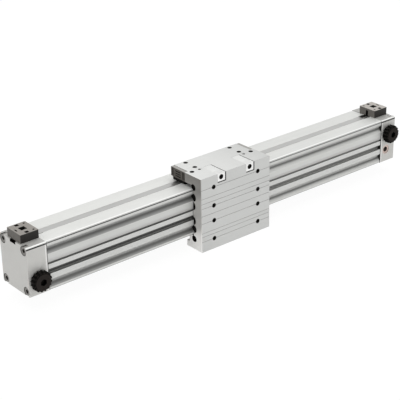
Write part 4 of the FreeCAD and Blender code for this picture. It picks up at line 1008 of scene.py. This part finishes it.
low, high = box_mm("carriage")[:, 0]
for side_name, ends in (("left", (low + PLUG_START, low + PLUG_END)),
                        ("right", (high - PLUG_END, high - PLUG_START))):
    work = bmesh.new()
    for middle, reach, radius, limit in (ROUND_CHANNEL, SIDE_HOLLOW):
        for height in (GUIDE_MIDDLE - reach, GUIDE_MIDDLE + reach):
            outline = plug_outline(middle, height, radius - PLUG_GAP, limit)
            part = extruded("plug_part", ends, [outline] * 2)
            work.from_mesh(part)
            bpy.data.meshes.remove(part)
    mesh = bpy.data.meshes.new(side_name + "_shade_plugs")
    work.to_mesh(mesh)
    work.free()
    shaded_smooth(mesh, 32)
    add_piece(side_name + "_shade_plugs", mesh, nodes["carriage"]["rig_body"], shade_plug_black)

# %% [markdown]
# ## The solids that stay as they are
# Small screws, seals and everything inside keep their own solids. They need a finish and
# nothing else. The cushion screws are painted darker than the rest, as painted shade of the
# holes they sit in.

# %% Finishes of the remaining solids
remaining = [name for name, node in nodes.items() if not node.hide_render]
for name in remaining:
    materials = nodes[name].data.materials
    materials.clear()
    materials.append(shaded_needle_steel if "cushion_screw" in name else SLOT_FINISH[slot_of[name]])
print(len(remaining), "solids keep their own shape")

# %% [markdown]
# ## Studio
# The photograph is a cut-out on white with soft light from above and a fill from the front.
# A white paper sweep could be lit until it looks white, but that would bleach the object.
# So the floor and the world are simply white to the camera and in reflections, the floor
# keeps a faint shadow, and from below it is clear.

# %% Floor
FLOOR, REACH = -15.8, 6000
corners = ((-REACH, -REACH), (REACH, -REACH), (REACH, REACH), (-REACH, REACH))
floor_mesh = bpy.data.meshes.new("studio_floor")
floor_mesh.from_pydata([(x * MM, y * MM, FLOOR * MM) for x, y in corners], [], [(0, 1, 2, 3)])
floor = bpy.data.objects.new("studio_floor", floor_mesh)
bpy.context.scene.collection.objects.link(floor)
pale = bpy.data.materials.new("pale_floor")
pale.use_nodes = True
tree = pale.node_tree
tree.nodes.clear()
out = tree.nodes.new("ShaderNodeOutputMaterial")
matt = tree.nodes.new("ShaderNodeBsdfDiffuse")
matt.inputs["Color"].default_value = (0.85, 0.85, 0.85, 1)
glow = tree.nodes.new("ShaderNodeEmission")
glow.inputs["Color"].default_value = (1, 1, 1, 1)
glow.inputs["Strength"].default_value = 1.05
path = tree.nodes.new("ShaderNodeLightPath").outputs
seen = math_node(tree, "MULTIPLY", either(tree, path["Is Camera Ray"], path["Is Glossy Ray"]), 0.9)
clear = tree.nodes.new("ShaderNodeBsdfTransparent").outputs[0]
below = tree.nodes.new("ShaderNodeNewGeometry").outputs["Backfacing"]
paper, sheet = (tree.nodes.new("ShaderNodeMixShader") for _ in range(2))
for mix, inputs in ((paper, (seen, matt.outputs[0], glow.outputs[0])),
                    (sheet, (below, paper.outputs[0], clear))):
    for place, socket in enumerate(inputs):
        tree.links.new(socket, mix.inputs[place])
tree.links.new(sheet.outputs[0], out.inputs["Surface"])
floor_mesh.materials.append(pale)
print("floor at", FLOOR, "mm")

# %% World
world = bpy.data.worlds.new("studio_world")
bpy.context.scene.world = world
world.use_nodes = True
tree = world.node_tree
background = tree.nodes["Background"]
background.inputs["Color"].default_value = (1, 1, 1, 1)
path = tree.nodes.new("ShaderNodeLightPath").outputs
direct = either(tree, path["Is Camera Ray"], path["Is Glossy Ray"])
tree.links.new(math_node(tree, "MULTIPLY_ADD", direct, 0.5, 0.5), background.inputs["Strength"])
print("the world is white to the camera and half as strong as a light")


# %% Lamps
def lamp(name, place, size, power):
    """A rectangular soft light at a place in metres, turned to the origin."""
    data = bpy.data.lights.new(name, "AREA")
    data.shape = "RECTANGLE"
    data.size, data.size_y = size
    data.energy = power
    light = bpy.data.objects.new(name, data)
    bpy.context.scene.collection.objects.link(light)
    light.location = place
    light.rotation_euler = (-Vector(place)).to_track_quat("-Z", "Y").to_euler()
    print(name, power, "W")


lamp("ceiling", (0, 0, 1.6), (2.4, 1.6), 14)
lamp("front_fill", (-1.0, -1.7, 0.5), (1.2, 0.8), 6)
bpy.context.scene.view_settings.view_transform = "Standard"
